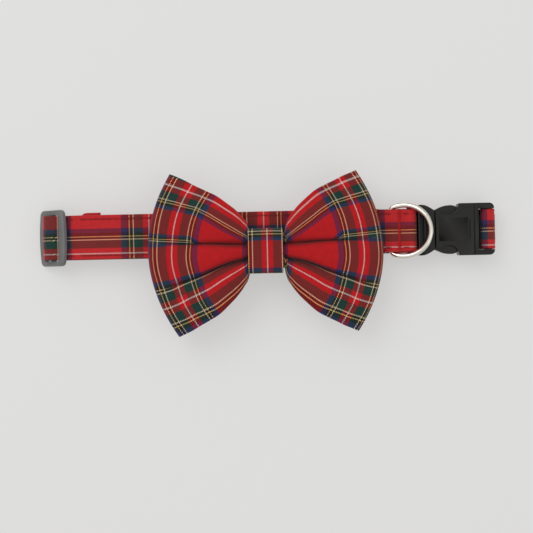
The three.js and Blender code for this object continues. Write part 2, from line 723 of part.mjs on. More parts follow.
const collar = new THREE.Group();
collar.add(
  piece("strap_front", strapFront(), colours.tartan),
  piece("strap_back", strapBack(), colours.tartan),
  piece("slider", slider(), colours.grey),
  piece("buckle_male", buckleMale(), colours.black),
  piece("buckle_female", buckleFemale(), colours.black),
  piece("bow", bow(), colours.bowTartan),
  piece("bow_knot", bowKnot(), colours.knotTartan),
  piece("elastic_loop_left", elasticLoop(-ELASTIC_SPACING / 2), colours.elastic),
  piece("elastic_loop_right", elasticLoop(ELASTIC_SPACING / 2), colours.elastic),
);

// The ring lies over the buckle, hinged on its straight bar in the strap's pocket
const ringSeat = new THREE.Group();
ringSeat.position.set(ringBarX, STRAP_OFFSET, ringBarZ);
ringSeat.rotation.y = -RING_REST_TILT;
ringSeat.add(piece("d_ring", dRing(), colours.nickel));
collar.add(ringSeat);

export default collar;
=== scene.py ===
# Looks for a pet bow tie collar that lies buckled and flattened, in millimetres until a mesh is made.
import math

import bmesh
import bpy
import numpy as np
from mathutils import Matrix, Vector


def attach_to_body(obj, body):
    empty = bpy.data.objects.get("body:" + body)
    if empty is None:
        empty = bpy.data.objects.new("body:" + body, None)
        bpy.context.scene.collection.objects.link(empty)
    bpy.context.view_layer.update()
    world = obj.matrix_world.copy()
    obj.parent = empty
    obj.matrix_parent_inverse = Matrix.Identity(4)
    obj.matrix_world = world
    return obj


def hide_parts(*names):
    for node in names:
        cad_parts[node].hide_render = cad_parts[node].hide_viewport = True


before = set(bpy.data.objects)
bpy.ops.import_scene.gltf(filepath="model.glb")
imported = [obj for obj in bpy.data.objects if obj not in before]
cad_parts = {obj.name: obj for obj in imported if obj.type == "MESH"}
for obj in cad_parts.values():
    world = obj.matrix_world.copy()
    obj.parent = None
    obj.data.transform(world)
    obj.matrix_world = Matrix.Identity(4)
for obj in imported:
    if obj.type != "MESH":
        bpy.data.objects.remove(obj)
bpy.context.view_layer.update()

MM = 0.001
TURN = 2 * math.pi
SQUARE = ((-1, -1), (1, -1), (1, 1), (-1, 1))

# Whole collar
OVERALL_LENGTH = 205
CLEARANCE = 0.3
NECK_GAP = 6
SAME_POINT = 0.01
ARC_STEP = math.radians(5)

# Strap
STRAP_WIDTH = 20
STRAP_THICKNESS = 1.4
STRAP_OFFSET = 9.1
TAPER_LENGTH = 6
SEWN_END_LENGTH = 8
SLIDER_FLAP_LENGTH = 21.2
FLAP_BEND = 3
RUN_BEND = 4
RETURN_BEND = 6
SOFT_BEND = 3
SLOT_BEND = 2.4
STITCH_BEND = 1
RIGHT_FOLD_BEND = 4.4
STRAP_EDGE = 0.6
STRAP_STEP = 1.5
STRAP_COLUMNS = 33
SEAM_INSET = 1.9
SEAM_WIDTH = 0.45
SEAM_DEPTH = 0.22
PUCKER = 0.07
STITCH_LENGTH = 2.6
STITCH_PITCH = 2.9
STITCH_THREAD = 0.42
TACK_PITCH = 0.75
TACK_THREAD = 0.6
TACK_HALF_LENGTH = 0.8
TACK_SHIFT = 1.05
FLAP_SKEW = 1.3
FLAP_SKEW_LENGTH = 9
FLAP_SKEW_RAMP = 2

# Slider
SLIDER_TILT = math.radians(42)
SLIDER_WIDTH = 25.3
SLIDER_END_BAR = 3
SLIDER_CENTRE_BAR = 2.4
SLIDER_RAIL = 2.35
SLIDER_THICKNESS = 2.4
SLIDER_CORNER = 2.4
SLIDER_BULGE = 0.8
SLIDER_ROUNDING = 0.75
SLIDER_SLIP = 3.2
SLIDER_SLIP_LENGTH = 6

# D-ring
RING_WIRE = 2.4
RING_INSIDE = 19.5
RING_TO_BUCKLE_BAR = 8.4
RING_STRAIGHT_SIDE = 7.2
RING_WIDEST = 5.7
RING_CORNER = 2
RING_SPREAD = 0.5
RING_REST_TILT = math.radians(20)
RING_BAR_RISE = 0.5
RING_SIDES = 28
RING_STEP = math.radians(4)

# Buckle
BUCKLE_WIDTH = 23.3
FEMALE_LENGTH = 26.4
FEMALE_THICKNESS = 8
FEMALE_WALL = 1.5
FEMALE_WINDOW = 7.1
FEMALE_STRAP_WIDTH = 18.1
END_BAR = 3.2
END_RAIL_LIP = 0.9
PANEL_LENGTH = 12.9
PANEL_WIDTH = 10.4
PANEL_DEPTH = 0.5
GROOVE_WIDTH = 0.5
GROOVE_DEPTH = 0.8
RIB_WIDTH = 0.4
RIB_LENGTH = 8.8
RIB_RISE = 0.3
CORNER_ROUNDING = 2.2
BUCKLE_ROUNDING = 0.9
CUT_ROUNDING = 0.2
MALE_LIP = 0.5
MALE_SLOT = 2
MALE_SLOT_DEPTH = 4
MALE_THICKNESS = 6.4
MALE_BASE_LENGTH = 7.1
MALE_BAR = 2.6
MALE_RAIL_THICKNESS = 1.5
MALE_ARM_LENGTH = 13
MALE_ARM_WIDTH = 4.2
MALE_TONGUE_WIDTH = 5
BAR_SIDES = 40

# Bow
BOW_LENGTH = 104.6
BOW_TIP_SPAN = 82
BOW_HEIGHT = 72
BOW_WALL = 1.5
CLOTH_WALL = 1.1
WING_HOLLOW = 5.2
WING_CROWN = 2.4
PINCH_GAP = 0.6
TIP_DROOP = 2.2
FOLD_SPREAD = 0.042
CREASE_SHARE = 0.8
CREASE_FADE = 0.8
CREASE_WIDTH = 0.75
CREASE_SPREAD = 0.9
GATHER_DEPTH = 0.22
GATHERS = 11
KNOT_WIDTH = 15.2
KNOT_HEIGHT = 19.9
KNOT_WALL = 1.4
KNOT_CROWN = 0.6
KNOT_ROUNDING = 2
KNOT_OFFSET = 1.3
KNOT_SHIFT = -0.8
KNOT_BUNCH = (1.08, 1.3)
KNOT_RED_DROP = 1.5
ALONG_STEPS = 56
FOLD_STEPS = 18
LOBE_STEPS = 20
LOOP_STEPS = 9
LOOP_STEP = 0.8
KNOT_COLUMNS = 25

# Elastic loops
ELASTIC_SPACING = 40
ELASTIC_WIDTH = 8
ELASTIC_THICKNESS = 0.8
ELASTIC_COLUMNS = 9

# One wing from the knot's edge outwards, close to the part's: shares of the way out, of the half height, of
# the hollow and of the crown, and where the two pleats run between the lower (-1) and upper (1) edges.
WING_COLUMNS = ("along", "height", "hollow", "crown", "upper", "lower")
WING_ROWS = np.array([
    (0, 0.2, 0, 1, 0.4, -0.4),
    (0.03, 0.31, 0.1, 1, 0.29, -0.3),
    (0.1, 0.42, 0.3, 0.98, 0.22, -0.25),
    (0.2, 0.53, 0.6, 0.95, 0.19, -0.24),
    (0.32, 0.63, 0.9, 0.88, 0.18, -0.27),
    (0.47, 0.74, 1, 0.72, 0.17, -0.32),
    (0.62, 0.81, 1, 0.52, 0.16, -0.36),
    (0.77, 0.87, 1, 0.36, 0.16, -0.39),
    (0.9, 0.925, 1, 0.28, 0.16, -0.42),
    (1, 0.96, 1, 0.25, 0.16, -0.43),
])

# Sides of the buckle's halves seen from above, as in the part: shares of the length and of the half width
FEMALE_SIDE = np.array([
    (0, 0.75), (0.06, 0.7), (0.13, 0.65), (0.22, 0.61), (0.3, 0.655), (0.36, 0.77), (0.385, 0.9), (0.4, 1),
])
MALE_ARM = np.array([
    (0, 0.72), (0.2, 0.8), (0.37, 0.885), (0.6, 0.935), (0.8, 0.92), (0.86, 0.89), (0.9, 0.82), (1, 0.72),
])
MALE_SHOULDER = np.array([(0, 0.92), (0.3, 0.95), (0.5, 0.975), (0.66, 0.95), (0.82, 0.87), (1, 0.75)])
SIDE_STEPS = 22

# The tartan's half repeat from its white middle line to the middle of the red ground, in millimetres
STRIPES = ("white", "red", "green", "cream", "black", "yellow", "black", "blue", "red")
LENGTHWISE = (0.25, 2.15, 3.55, 0.4, 1, 0.4, 1.55, 1.8, 7.8)
CROSSWISE = (0.27, 2.35, 4.1, 0.42, 1.38, 0.42, 1, 2.5, 11.21)
THREAD = 0.22
# How much red and dark threads darken each other, and how far the light ones are spared
THREAD_SHADE = 0.68
LIGHT_THREADS = 1.2
# How dark the painted shade makes the cloth deep in a crease, and how far off its other side may lie
CREASE_SHADE = 0.8
CREASE_REACH = 4
# The cloth's gloss and relief, and the worn patches and thick threads that mottle it, by scale and share
CLOTH_ROUGHNESS = 0.82
CLOTH_GLOSS = 0.25
SHEEN_ROUGHNESS = 0.5
WEAVE_RELIEF = 0.06
WEAVE_STRENGTH = 0.7
WORN_SCALE = 0.35
WORN_SHARE = 0.36
SLUB_SCALE = 1.6
SLUB_SHARE = 0.4
LEAST_SHADE = 0.62

# What each lobe of a wing shows of the cloth's width, in millimetres from the first white line, from the
# lobe's upper edge to its lower edge, at the outer fold and at the knot. The pleats hide the rest. reach and
# curve say how far out and how soon the knot's place turns into the fold's, bend how the cloth bunches
# towards the lobe's upper edge at the knot and at the fold, and left how far the left wing's is drawn up.
LOBE_CLOTH = [
    {"outer": (-1.5, 34.5), "knot": (-1.2, 14), "reach": 0.65, "curve": 1.6, "bend": (1.3, 1.3), "left": 1.27},
    {"outer": (47.1, 68), "knot": (50, 65.6), "reach": 1, "curve": 1, "bend": (1, 1), "left": 0},
    {"outer": (68, 86.8), "knot": (66.8, 84), "reach": 1, "curve": 1, "bend": (0.6, 1), "left": 0},
]
# How much cloth a wing holds for its length, and how far its crosswise stripes are drawn out beside the
# knot on the lower, the middle and the upper lobe of the left (-1) and the right (1) wing
CLOTH_GATHER = 1.09
KNOT_DRAW = {-1: (1.4, 1.4, 2.4), 1: (0.4, -2.9, 0.4)}
# From a wing's outer fold to the white line, along the cloth
FOLD_TO_WHITE = {-1: 13.1, 1: 11.4}

# How far the upper and lower outer corners of the left (-1) and right (1) wing lie off a mirrored shape
CORNER_SHIFTS = {-1: [(-2, 0, 0), (0.75, 0.2, 0)], 1: [(-0.6, 0, 0), (-0.8, 1.2, 0)]}
# How far a wing's upper edge sags between its corner and the knot
WING_SAG = {-1: 1.5, 1: 0}

# Where white lines cross the strap's front run, and the place of the blue stripe on the buckle's end bar
STRAP_WHITES = (-52.7, -1.3, 40.4)
STRAP_WHITE_ACROSS = -7.3
END_BAR_BLUE = 97.6

STRAP_PAINT = {
    "white": (218, 190, 184),
    "red": (188, 38, 42),
    "green": (28, 58, 52),
    "cream": (214, 190, 150),
    "yellow": (222, 184, 112),
    "black": (30, 26, 26),
    "blue": (50, 44, 82),
}
BOW_PAINT = {
    "white": (222, 196, 192),
    "red": (180, 22, 28),
    "green": (25, 55, 50),
    "cream": (218, 196, 160),
    "yellow": (226, 190, 116),
    "black": (28, 24, 24),
    "blue": (44, 44, 92),
}

# Heights of the layers and places along the collar, as in the part
half_strap = STRAP_THICKNESS / 2
layer_pitch = STRAP_THICKNESS + CLEARANCE
lower_z = half_strap
return_z = lower_z + layer_pitch
flap_z = return_z + layer_pitch
back_top = return_z + half_strap
front_z = back_top + NECK_GAP + half_strap
front_top = front_z + half_strap
beside_wire = CLEARANCE + half_strap
right_end = OVERALL_LENGTH / 2
buckle_bottom = back_top + CLEARANCE
buckle_top = buckle_bottom + FEMALE_THICKNESS
buckle_z = buckle_bottom + FEMALE_THICKNESS / 2
end_bar_x = right_end - half_strap - beside_wire - END_BAR / 2
female_right = end_bar_x + END_BAR / 2 + END_RAIL_LIP
female_left = female_right - FEMALE_LENGTH
window_left = female_right - FEMALE_WINDOW
male_right = female_left - CLEARANCE
male_base_left = male_right - MALE_BASE_LENGTH
male_bar_x = male_base_left - 2 * CLEARANCE - STRAP_THICKNESS - MALE_BAR / 2 - CLEARANCE
ring_bar_x = male_bar_x - RING_TO_BUCKLE_BAR
ring_bar_z = buckle_z + RING_BAR_RISE
pocket_width = RING_INSIDE - 2 * CLEARANCE
slider_pitch = SLIDER_CENTRE_BAR / 2 + 2 * STRAP_THICKNESS + 3 * CLEARANCE + SLIDER_END_BAR / 2
reach_x = slider_pitch * math.cos(SLIDER_TILT)
reach_z = slider_pitch * math.sin(SLIDER_TILT)
centre_x = -right_end + SLIDER_END_BAR / 2 + reach_x
centre_z = CLEARANCE + SLIDER_END_BAR / 2 + reach_z
top_x = centre_x + reach_x
top_z = centre_z + reach_z
elastic_top = front_top + CLEARANCE + ELASTIC_THICKNESS
bow_back_z = elastic_top + CLEARANCE + BOW_WALL / 2
pinch_depth = BOW_WALL + PINCH_GAP
pinch_lift = KNOT_WALL + CLEARANCE - ELASTIC_THICKNESS
pinch_bottom = bow_back_z + pinch_lift - BOW_WALL / 2
pinch_top = pinch_bottom + BOW_WALL + pinch_depth + WING_CROWN
fold_radius = (WING_HOLLOW + BOW_WALL) / 2


# Node materials
def srgb(red, green, blue):
    return tuple((channel / 255) ** 2.2 for channel in (red, green, blue)) + (1,)


def new_material(name, roughness, metallic=0.0):
    material = bpy.data.materials.new(name)
    material.use_nodes = True
    shader = material.node_tree.nodes["Principled BSDF"]
    shader.inputs["Roughness"].default_value = roughness
    shader.inputs["Metallic"].default_value = metallic
    return material, material.node_tree, shader


def sum_node(tree, operation, *values):
    made = tree.nodes.new("ShaderNodeMath")
    made.operation = operation
    for socket, value in zip(made.inputs, values):
        if isinstance(value, bpy.types.NodeSocket):
            tree.links.new(value, socket)
        else:
            socket.default_value = value
    return made.outputs[0]


def mix_node(tree, blend, factor, first, second):
    made = tree.nodes.new("ShaderNodeMix")
    made.data_type = "RGBA"
    made.blend_type = blend
    sockets = [made.inputs[0], made.inputs[6], made.inputs[7]]
    for socket, value in zip(sockets, (factor, first, second)):
        if isinstance(value, bpy.types.NodeSocket):
            tree.links.new(value, socket)
        else:
            socket.default_value = value
    return made.outputs[2]


def noise_node(tree, vector, scale, detail=3.0):
    noise = tree.nodes.new("ShaderNodeTexNoise")
    noise.inputs["Scale"].default_value = scale
    noise.inputs["Detail"].default_value = detail
    tree.links.new(vector, noise.inputs["Vector"])
    return noise.outputs["Fac"]


def object_noise(tree, scale):
    """Noise that is fixed to the object, with its scale to the metre."""
    return noise_node(tree, tree.nodes.new("ShaderNodeTexCoord").outputs["Object"], scale)


def parts_node(tree, vector):
    """A vector's X, Y and Z."""
    apart = tree.nodes.new("ShaderNodeSeparateXYZ")
    tree.links.new(vector, apart.inputs[0])
    return apart.outputs[0], apart.outputs[1], apart.outputs[2]


def bump(tree, shader, height, depth, strength=1.0):
    made = tree.nodes.new("ShaderNodeBump")
    made.inputs["Strength"].default_value = strength
    made.inputs["Distance"].default_value = depth * MM
    tree.links.new(height, made.inputs["Height"])
    tree.links.new(made.outputs["Normal"], shader.inputs["Normal"])


def stripes_node(tree, place, widths, paint):
    """The tartan's colour at a place in millimetres across its stripes; the half repeat is mirrored."""
    half = sum(widths)
    folded = sum_node(tree, "PINGPONG", place, half)
    share = sum_node(tree, "DIVIDE", folded, half)
    ramp = tree.nodes.new("ShaderNodeValToRGB")
    ramp.color_ramp.interpolation = "CONSTANT"
    stops = ramp.color_ramp.elements
    stops.remove(stops[1])
    start = 0
    for i, (colour, width) in enumerate(zip(STRIPES, widths)):
        stop = stops[0] if i == 0 else stops.new(start / half)
        stop.color = srgb(*paint[colour])
        start += width
    tree.links.new(share, ramp.inputs["Fac"])
    return ramp.outputs["Color"]


def tartan(name, paint, sheen):
    """Woven tartan: crosswise stripes by u and lengthwise ones by v, mixed thread by thread in a 2/2 twill,
    with painted shade darkening its creases.
    """
    material, tree, shader = new_material(name, CLOTH_ROUGHNESS)
    shader.inputs["Sheen Weight"].default_value = sheen
    shader.inputs["Sheen Roughness"].default_value = SHEEN_ROUGHNESS
    shader.inputs["Specular IOR Level"].default_value = CLOTH_GLOSS
    cloth = tree.nodes.new("ShaderNodeUVMap").outputs["UV"]
    u, v, _ = parts_node(tree, cloth)
    warp_thread = sum_node(tree, "FLOOR", sum_node(tree, "DIVIDE", u, THREAD))
    weft_thread = sum_node(tree, "FLOOR", sum_node(tree, "DIVIDE", v, THREAD))
    diagonal = sum_node(tree, "ADD", warp_thread, weft_thread)
    over = sum_node(tree, "LESS_THAN", sum_node(tree, "FLOORED_MODULO", diagonal, 4.0), 2.0)
    warp = stripes_node(tree, u, CROSSWISE, paint)
    weft = stripes_node(tree, v, LENGTHWISE, paint)
    woven = mix_node(tree, "MIX", over, weft, warp)
    worn = noise_node(tree, cloth, WORN_SCALE, 4.0)
    slub = noise_node(tree, cloth, SLUB_SCALE, 2.0)
    uneven = sum_node(tree, "MULTIPLY_ADD", slub, SLUB_SHARE, LEAST_SHADE)
    unlike = tree.nodes.new("ShaderNodeSeparateColor")
    tree.links.new(mix_node(tree, "DIFFERENCE", 1.0, weft, warp), unlike.inputs[0])
    redder = sum_node(tree, "MULTIPLY_ADD", unlike.outputs[1], -LIGHT_THREADS, unlike.outputs[0])
    between = sum_node(tree, "MULTIPLY_ADD", sum_node(tree, "MAXIMUM", redder, 0.0), -THREAD_SHADE, 1.0)
    # Painted shade: an ambient-occlusion node darkens the cloth's colour in its creases and hollows and where
    # its own layers lie close.
    open_sky = tree.nodes.new("ShaderNodeAmbientOcclusion")
    open_sky.samples = 8
    open_sky.only_local = True
    open_sky.inputs["Distance"].default_value = CREASE_REACH * MM
    painted_crease_shade = sum_node(tree, "MULTIPLY_ADD", open_sky.outputs["AO"], CREASE_SHADE, 1.0 - CREASE_SHADE)
    between = sum_node(tree, "MULTIPLY", between, painted_crease_shade)
    shade = sum_node(tree, "MULTIPLY", sum_node(tree, "MULTIPLY_ADD", worn, WORN_SHARE, uneven), between)
    grey = tree.nodes.new("ShaderNodeCombineColor")
    for socket in grey.inputs[:3]:
        tree.links.new(shade, socket)
    final = mix_node(tree, "MULTIPLY", 1.0, woven, grey.outputs[0])
    tree.links.new(final, shader.inputs["Base Color"])
    relief = sum_node(tree, "ADD", sum_node(tree, "MULTIPLY", over, 0.5), slub)
    bump(tree, shader, relief, WEAVE_RELIEF, WEAVE_STRENGTH)
    return material


def thread_material(name, colour):
    material, tree, shader = new_material(name, 0.7)
    fibre = object_noise(tree, 3000)
    twisted = mix_node(tree, "MIX", fibre, srgb(*colour), srgb(*[c * 0.8 for c in colour]))
    tree.links.new(twisted, shader.inputs["Base Color"])
    bump(tree, shader, fibre, 0.05)
    return material


def plastic(name, colour, roughness, gloss, grain):
    """Moulded plastic with a fine grain that breaks its gloss."""
    material, tree, shader = new_material(name, roughness)
    shader.inputs["Specular IOR Level"].default_value = gloss
    speckle = object_noise(tree, 2600)
    cloudy = object_noise(tree, 120)
    darker = srgb(*[c * 0.82 for c in colour])
    tree.links.new(mix_node(tree, "MIX", cloudy, darker, srgb(*colour)), shader.inputs["Base Color"])
    rough = sum_node(tree, "MULTIPLY_ADD", cloudy, 0.12, roughness - 0.06)
    tree.links.new(rough, shader.inputs["Roughness"])
    bump(tree, shader, speckle, grain)
    return material


def nickel():
    material, tree, shader = new_material("nickel", 0.16, 1.0)
    cloudy = object_noise(tree, 300)
    plate = mix_node(tree, "MIX", cloudy, srgb(226, 220, 208), srgb(240, 236, 228))
    tree.links.new(plate, shader.inputs["Base Color"])
    tree.links.new(sum_node(tree, "MULTIPLY_ADD", cloudy, 0.1, 0.1), shader.inputs["Roughness"])
    bump(tree, shader, cloudy, 0.02)
    return material


def knitted():
    """Black knitted elastic: fine ribs along the band, with painted light and shade that makes the ribs'
    crests lighter and the hollows between them darker.
    """
    material, tree, shader = new_material("elastic", 0.8)
    u, v, _ = parts_node(tree, tree.nodes.new("ShaderNodeUVMap").outputs["UV"])
    rib = sum_node(tree, "SINE", sum_node(tree, "MULTIPLY", v, TURN))
    loop = sum_node(tree, "SINE", sum_node(tree, "MULTIPLY", u, TURN * 1.5))
    height = sum_node(tree, "MULTIPLY_ADD", loop, 0.3, rib)
    share = sum_node(tree, "MULTIPLY_ADD", height, 0.35, 0.5)
    # Painted light and shade: the colour is lighter on the ribs' crests and darker between them.
    ribs_with_painted_shade = mix_node(tree, "MIX", share, srgb(16, 16, 18), srgb(42, 42, 46))
    tree.links.new(ribs_with_painted_shade, shader.inputs["Base Color"])
    bump(tree, shader, height, 0.12)
    return material


# Meshes
def new_object(name, data):
    made = bpy.data.objects.new(name, data)
    bpy.context.scene.collection.objects.link(made)
    return made


def new_piece(name, mesh, material):
    mesh.materials.append(material)
    return new_object(name, mesh)


def smooth(mesh):
    mesh.polygons.foreach_set("use_smooth", [True] * len(mesh.polygons))


def grid(name, points, uv, closed_rows, closed_columns, material, capped=False):
    """A mesh from rows of points. uv has a row or column more than points where the grid closes on itself."""
    rows, columns = points.shape[:2]
    faces = []
    corners = []
    for i in range(rows if closed_rows else rows - 1):
        for j in range(columns if closed_columns else columns - 1):
            around = [(i, j), (i + 1, j), (i + 1, j + 1), (i, j + 1)]
            faces.append([(r % rows) * columns + c % columns for r, c in around])
            corners.extend(uv[r, c] for r, c in around)
    if capped:
        for row, order in ((0, range(columns)), (rows - 1, range(columns - 1, -1, -1))):
            faces.append([row * columns + c for c in order])
            corners.extend(uv[row, c] for c in order)
    mesh = bpy.data.meshes.new(name)
    mesh.from_pydata((points.reshape(-1, 3) * MM).tolist(), [], faces)
    layer = mesh.uv_layers.new(name="cloth")
    layer.data.foreach_set("uv", np.array(corners, np.float32).ravel())
    smooth(mesh)
    mesh.update()
    face_outwards(mesh)
    return new_piece(name, mesh, material)


def face_outwards(mesh):
    work = bmesh.new()
    work.from_mesh(mesh)
    bmesh.ops.recalc_face_normals(work, faces=work.faces)
    work.to_mesh(mesh)
    work.free()


def apply_modifiers(piece):
    graph = bpy.context.evaluated_depsgraph_get()
    made = piece.evaluated_get(graph)
    mesh = bpy.data.meshes.new_from_object(made, preserve_all_data_layers=True, depsgraph=graph)
    piece.modifiers.clear()
    piece.data = mesh


def bevel(piece, width, segments, sharper_than):
    """Adds a rounding to the edges that are sharper than an angle in degrees."""
    made = piece.modifiers.new("edge", "BEVEL")
    made.width = width * MM
    made.segments = segments
    made.limit_method = "ANGLE"
    made.angle_limit = math.radians(sharper_than)
    return made


def thicken(piece, wall, rounding):
    """Gives a sheet its wall, half to each side, and rounds the cut edges."""
    solid = piece.modifiers.new("wall", "SOLIDIFY")
    solid.thickness = wall * MM
    solid.offset = 0
    solid.use_quality_normals = True
    bevel(piece, rounding, 2, 60)
    apply_modifiers(piece)
    smooth(piece.data)


def through(table, at, column=1):
    """A smooth curve through a table's rows, read at any place of its first column."""
    places = table[:, 0]
    values = table[:, column]
    slopes = np.gradient(values, places)
    k = np.clip(np.searchsorted(places, at, side="right") - 1, 0, len(places) - 2)
    span = places[k + 1] - places[k]
    t = (at - places[k]) / span
    start = (1 + 2 * t) * (1 - t) ** 2 * values[k] + t * (1 - t) ** 2 * span * slopes[k]
    end = t * t * (3 - 2 * t) * values[k + 1] + t * t * (t - 1) * span * slopes[k + 1]
    return start + end


# The strap's route
def belt(stops):
    """A path in XZ led round stops (x, z, radius, turn), turning left (1) or right (-1) at each."""
    headings = []
    for (x0, z0, r0, turn0), (x1, z1, r1, turn1) in zip(stops, stops[1:]):
        apart = math.hypot(x1 - x0, z1 - z0)
        lean = math.asin(np.clip((turn1 * r1 - turn0 * r0) / apart, -1, 1))
        headings.append(math.atan2(z1 - z0, x1 - x0) - lean)
    path = []
    for i, (x, z, radius, turn) in enumerate(stops):
        incoming = headings[max(0, i - 1)]
        outgoing = headings[min(len(headings) - 1, i)]
        swing = ((outgoing - incoming) * turn) % TURN
        if swing > 0.9 * TURN:
            swing -= TURN
        steps = 0 if radius == 0 else max(2, math.ceil(abs(swing) / ARC_STEP))
        for k in range(steps + 1):
            heading = incoming + turn * swing * (k / steps if steps else 0)
            path.append((x + turn * radius * math.sin(heading), z - turn * radius * math.cos(heading)))
    path = np.array(path)
    apart = np.hypot(*np.diff(path, axis=0).T)
    return path[np.append(True, apart > SAME_POINT)]


def divided(path, step):
    """The same path with no stretch longer than a step."""
    points = []
    for a, b in zip(path, path[1:]):
        count = max(1, math.ceil(np.linalg.norm(b - a) / step))
        points.extend(a + (b - a) * k / count for k in range(count))
    points.append(path[-1])
    return np.array(points)


def strap_route():
    """The whole strap from its sewn end at the ring to its sewn end at the slider, in two parts that join."""
    around_ring = RING_WIRE / 2 + beside_wire
    around_male = MALE_BAR / 2 + beside_wire
    stitch_x = (ring_bar_x + RING_WIRE / 2 + male_bar_x - MALE_BAR / 2) / 2
    stitch_z = (ring_bar_z + buckle_z) / 2
    stitch_gap = layer_pitch / 2 + STITCH_BEND
    bend_x = ring_bar_x - around_ring - 2 * SOFT_BEND
    sewn_z = front_z - layer_pitch
    past_centre = SLIDER_CENTRE_BAR / 2 + STRAP_THICKNESS + CLEARANCE + beside_wire
    front = belt([
        (bend_x - SEWN_END_LENGTH, sewn_z, 0, 1),
        (bend_x + SOFT_BEND, sewn_z - SOFT_BEND, SOFT_BEND, -1),
        (ring_bar_x, ring_bar_z, around_ring, 1),
        (stitch_x, stitch_z - stitch_gap, STITCH_BEND, -1),
        (male_bar_x, buckle_z, around_male, 1),
        (stitch_x, stitch_z + stitch_gap, STITCH_BEND, -1),
        (ring_bar_x, ring_bar_z, around_ring, 1),
        (bend_x + SOFT_BEND, front_z + SOFT_BEND, SOFT_BEND, -1),
        (top_x + 2 * RUN_BEND, front_z - RUN_BEND, RUN_BEND, 1),
        (top_x, top_z, SLIDER_END_BAR / 2 + beside_wire, -1),
        (centre_x, centre_z, past_centre, 1),
        (centre_x, lower_z + SLOT_BEND, SLOT_BEND, 1),
        (centre_x + SLOT_BEND, lower_z, 0, 1),
    ])
    around_end = END_BAR / 2 + beside_wire
    around_centre = SLIDER_CENTRE_BAR / 2 + beside_wire
    corner = beside_wire + CLEARANCE
    back = belt([
        (centre_x + SLOT_BEND + CLEARANCE, lower_z, 0, 1),
        (right_end - half_strap - RIGHT_FOLD_BEND, lower_z + RIGHT_FOLD_BEND, RIGHT_FOLD_BEND, 1),
        (end_bar_x, buckle_z, around_end, 1),
        (end_bar_x - around_end - corner, return_z + corner, corner, -1),
        (top_x, return_z + RETURN_BEND, RETURN_BEND, -1),
        (centre_x, centre_z, around_centre, -1),
        (centre_x + around_centre + FLAP_BEND, flap_z + FLAP_BEND, FLAP_BEND, 1),
        (centre_x + SLIDER_FLAP_LENGTH, flap_z, 0, 1),
    ])
    return divided(front, STRAP_STEP), divided(back, STRAP_STEP)


def ramp_down(x, start, end, narrow):
    share = np.clip((x - start) / (end - start), 0, 1)
    return STRAP_WIDTH + (narrow - STRAP_WIDTH) * share * share * (3 - 2 * share)


class Strap:
    """The strap's centre line with its width, sideways shift and the cloth's pattern place at each point."""

    def __init__(self):
        front, back = strap_route()
        self.path = np.vstack([front, back])
        self.arc = np.append(0, np.cumsum(np.hypot(*np.diff(self.path, axis=0).T)))
        self.length = self.arc[-1]
        around_ring = RING_WIRE / 2 + beside_wire
        pocket_x = ring_bar_x - around_ring
        front_width = ramp_down(front[:, 0], pocket_x - TAPER_LENGTH, pocket_x, pocket_width)
        back_width = ramp_down(back[:, 0], male_bar_x, female_left, FEMALE_STRAP_WIDTH)
        self.width = np.concatenate([front_width, back_width])
        self.front_count = len(front)
        heading = np.gradient(self.path, axis=0)
        heading /= np.linalg.norm(heading, axis=1)[:, None]
        self.normal = np.column_stack([-heading[:, 1], heading[:, 0]])
        flap = np.clip((self.arc - self.length + FLAP_SKEW_LENGTH) / FLAP_SKEW_RAMP, 0, 1)
        self.shift = FLAP_SKEW * flap
        self.cloth = self.pattern()

    def arc_on_top(self, x, end_bar=False):
        """Where the strap's visible front run, or its turn over the end bar, passes a place along X."""
        if end_bar:
            seen = (np.arange(len(self.arc)) > self.front_count) & (self.path[:, 1] > buckle_z)
        else:
            seen = np.arange(len(self.arc)) < self.front_count
        seen &= self.normal[:, 1] < -0.5
        order = np.argsort(self.path[seen, 0])
        return np.interp(x, self.path[seen, 0][order], self.arc[seen][order])

    def pattern(self):
        """The place on the cloth in millimetres, fitted to the white lines on the front run."""
        repeat = 2 * sum(CROSSWISE)
        marks = [self.arc_on_top(x) for x in STRAP_WHITES]
        known = [-i * repeat for i in range(len(marks))]
        marks, known = marks[::-1], known[::-1]
        marks = [marks[0] - repeat, *marks, marks[-1] + 20 * repeat]
        known = [known[0] - repeat, *known, known[-1] + 20 * repeat]
        cloth = np.interp(self.arc, marks, known)
        past_slider = np.clip((self.arc - self.arc_on_top(top_x)) / SLIDER_SLIP_LENGTH, 0, 1)
        cloth = cloth - SLIDER_SLIP * past_slider
        lower = self.arc[self.front_count]
        at_bar = np.interp(self.arc_on_top(END_BAR_BLUE, end_bar=True), self.arc, cloth)
        blue = sum(CROSSWISE) + CROSSWISE[-1] + CROSSWISE[-2] / 2
        wanted = blue + repeat * math.ceil(at_bar / repeat)
        share = np.clip((self.arc - lower) / (OVERALL_LENGTH * 0.9), 0, 1)
        return cloth + (wanted - at_bar) * share

    def place(self, arc, across, lift):
        """Points at that distance along the strap, from its middle line, and above its middle layer."""
        def at(values):
            return np.interp(arc, self.arc, values)

        x = at(self.path[:, 0]) + lift * at(self.normal[:, 0])
        z = at(self.path[:, 1]) + lift * at(self.normal[:, 1])
        y = STRAP_OFFSET + at(self.shift) + across
        return np.stack([x, y + 0 * x, z], axis=-1)


def seam_share(across, half):
    return np.exp(-(((half - np.abs(across) - SEAM_INSET) / SEAM_WIDTH) ** 2))


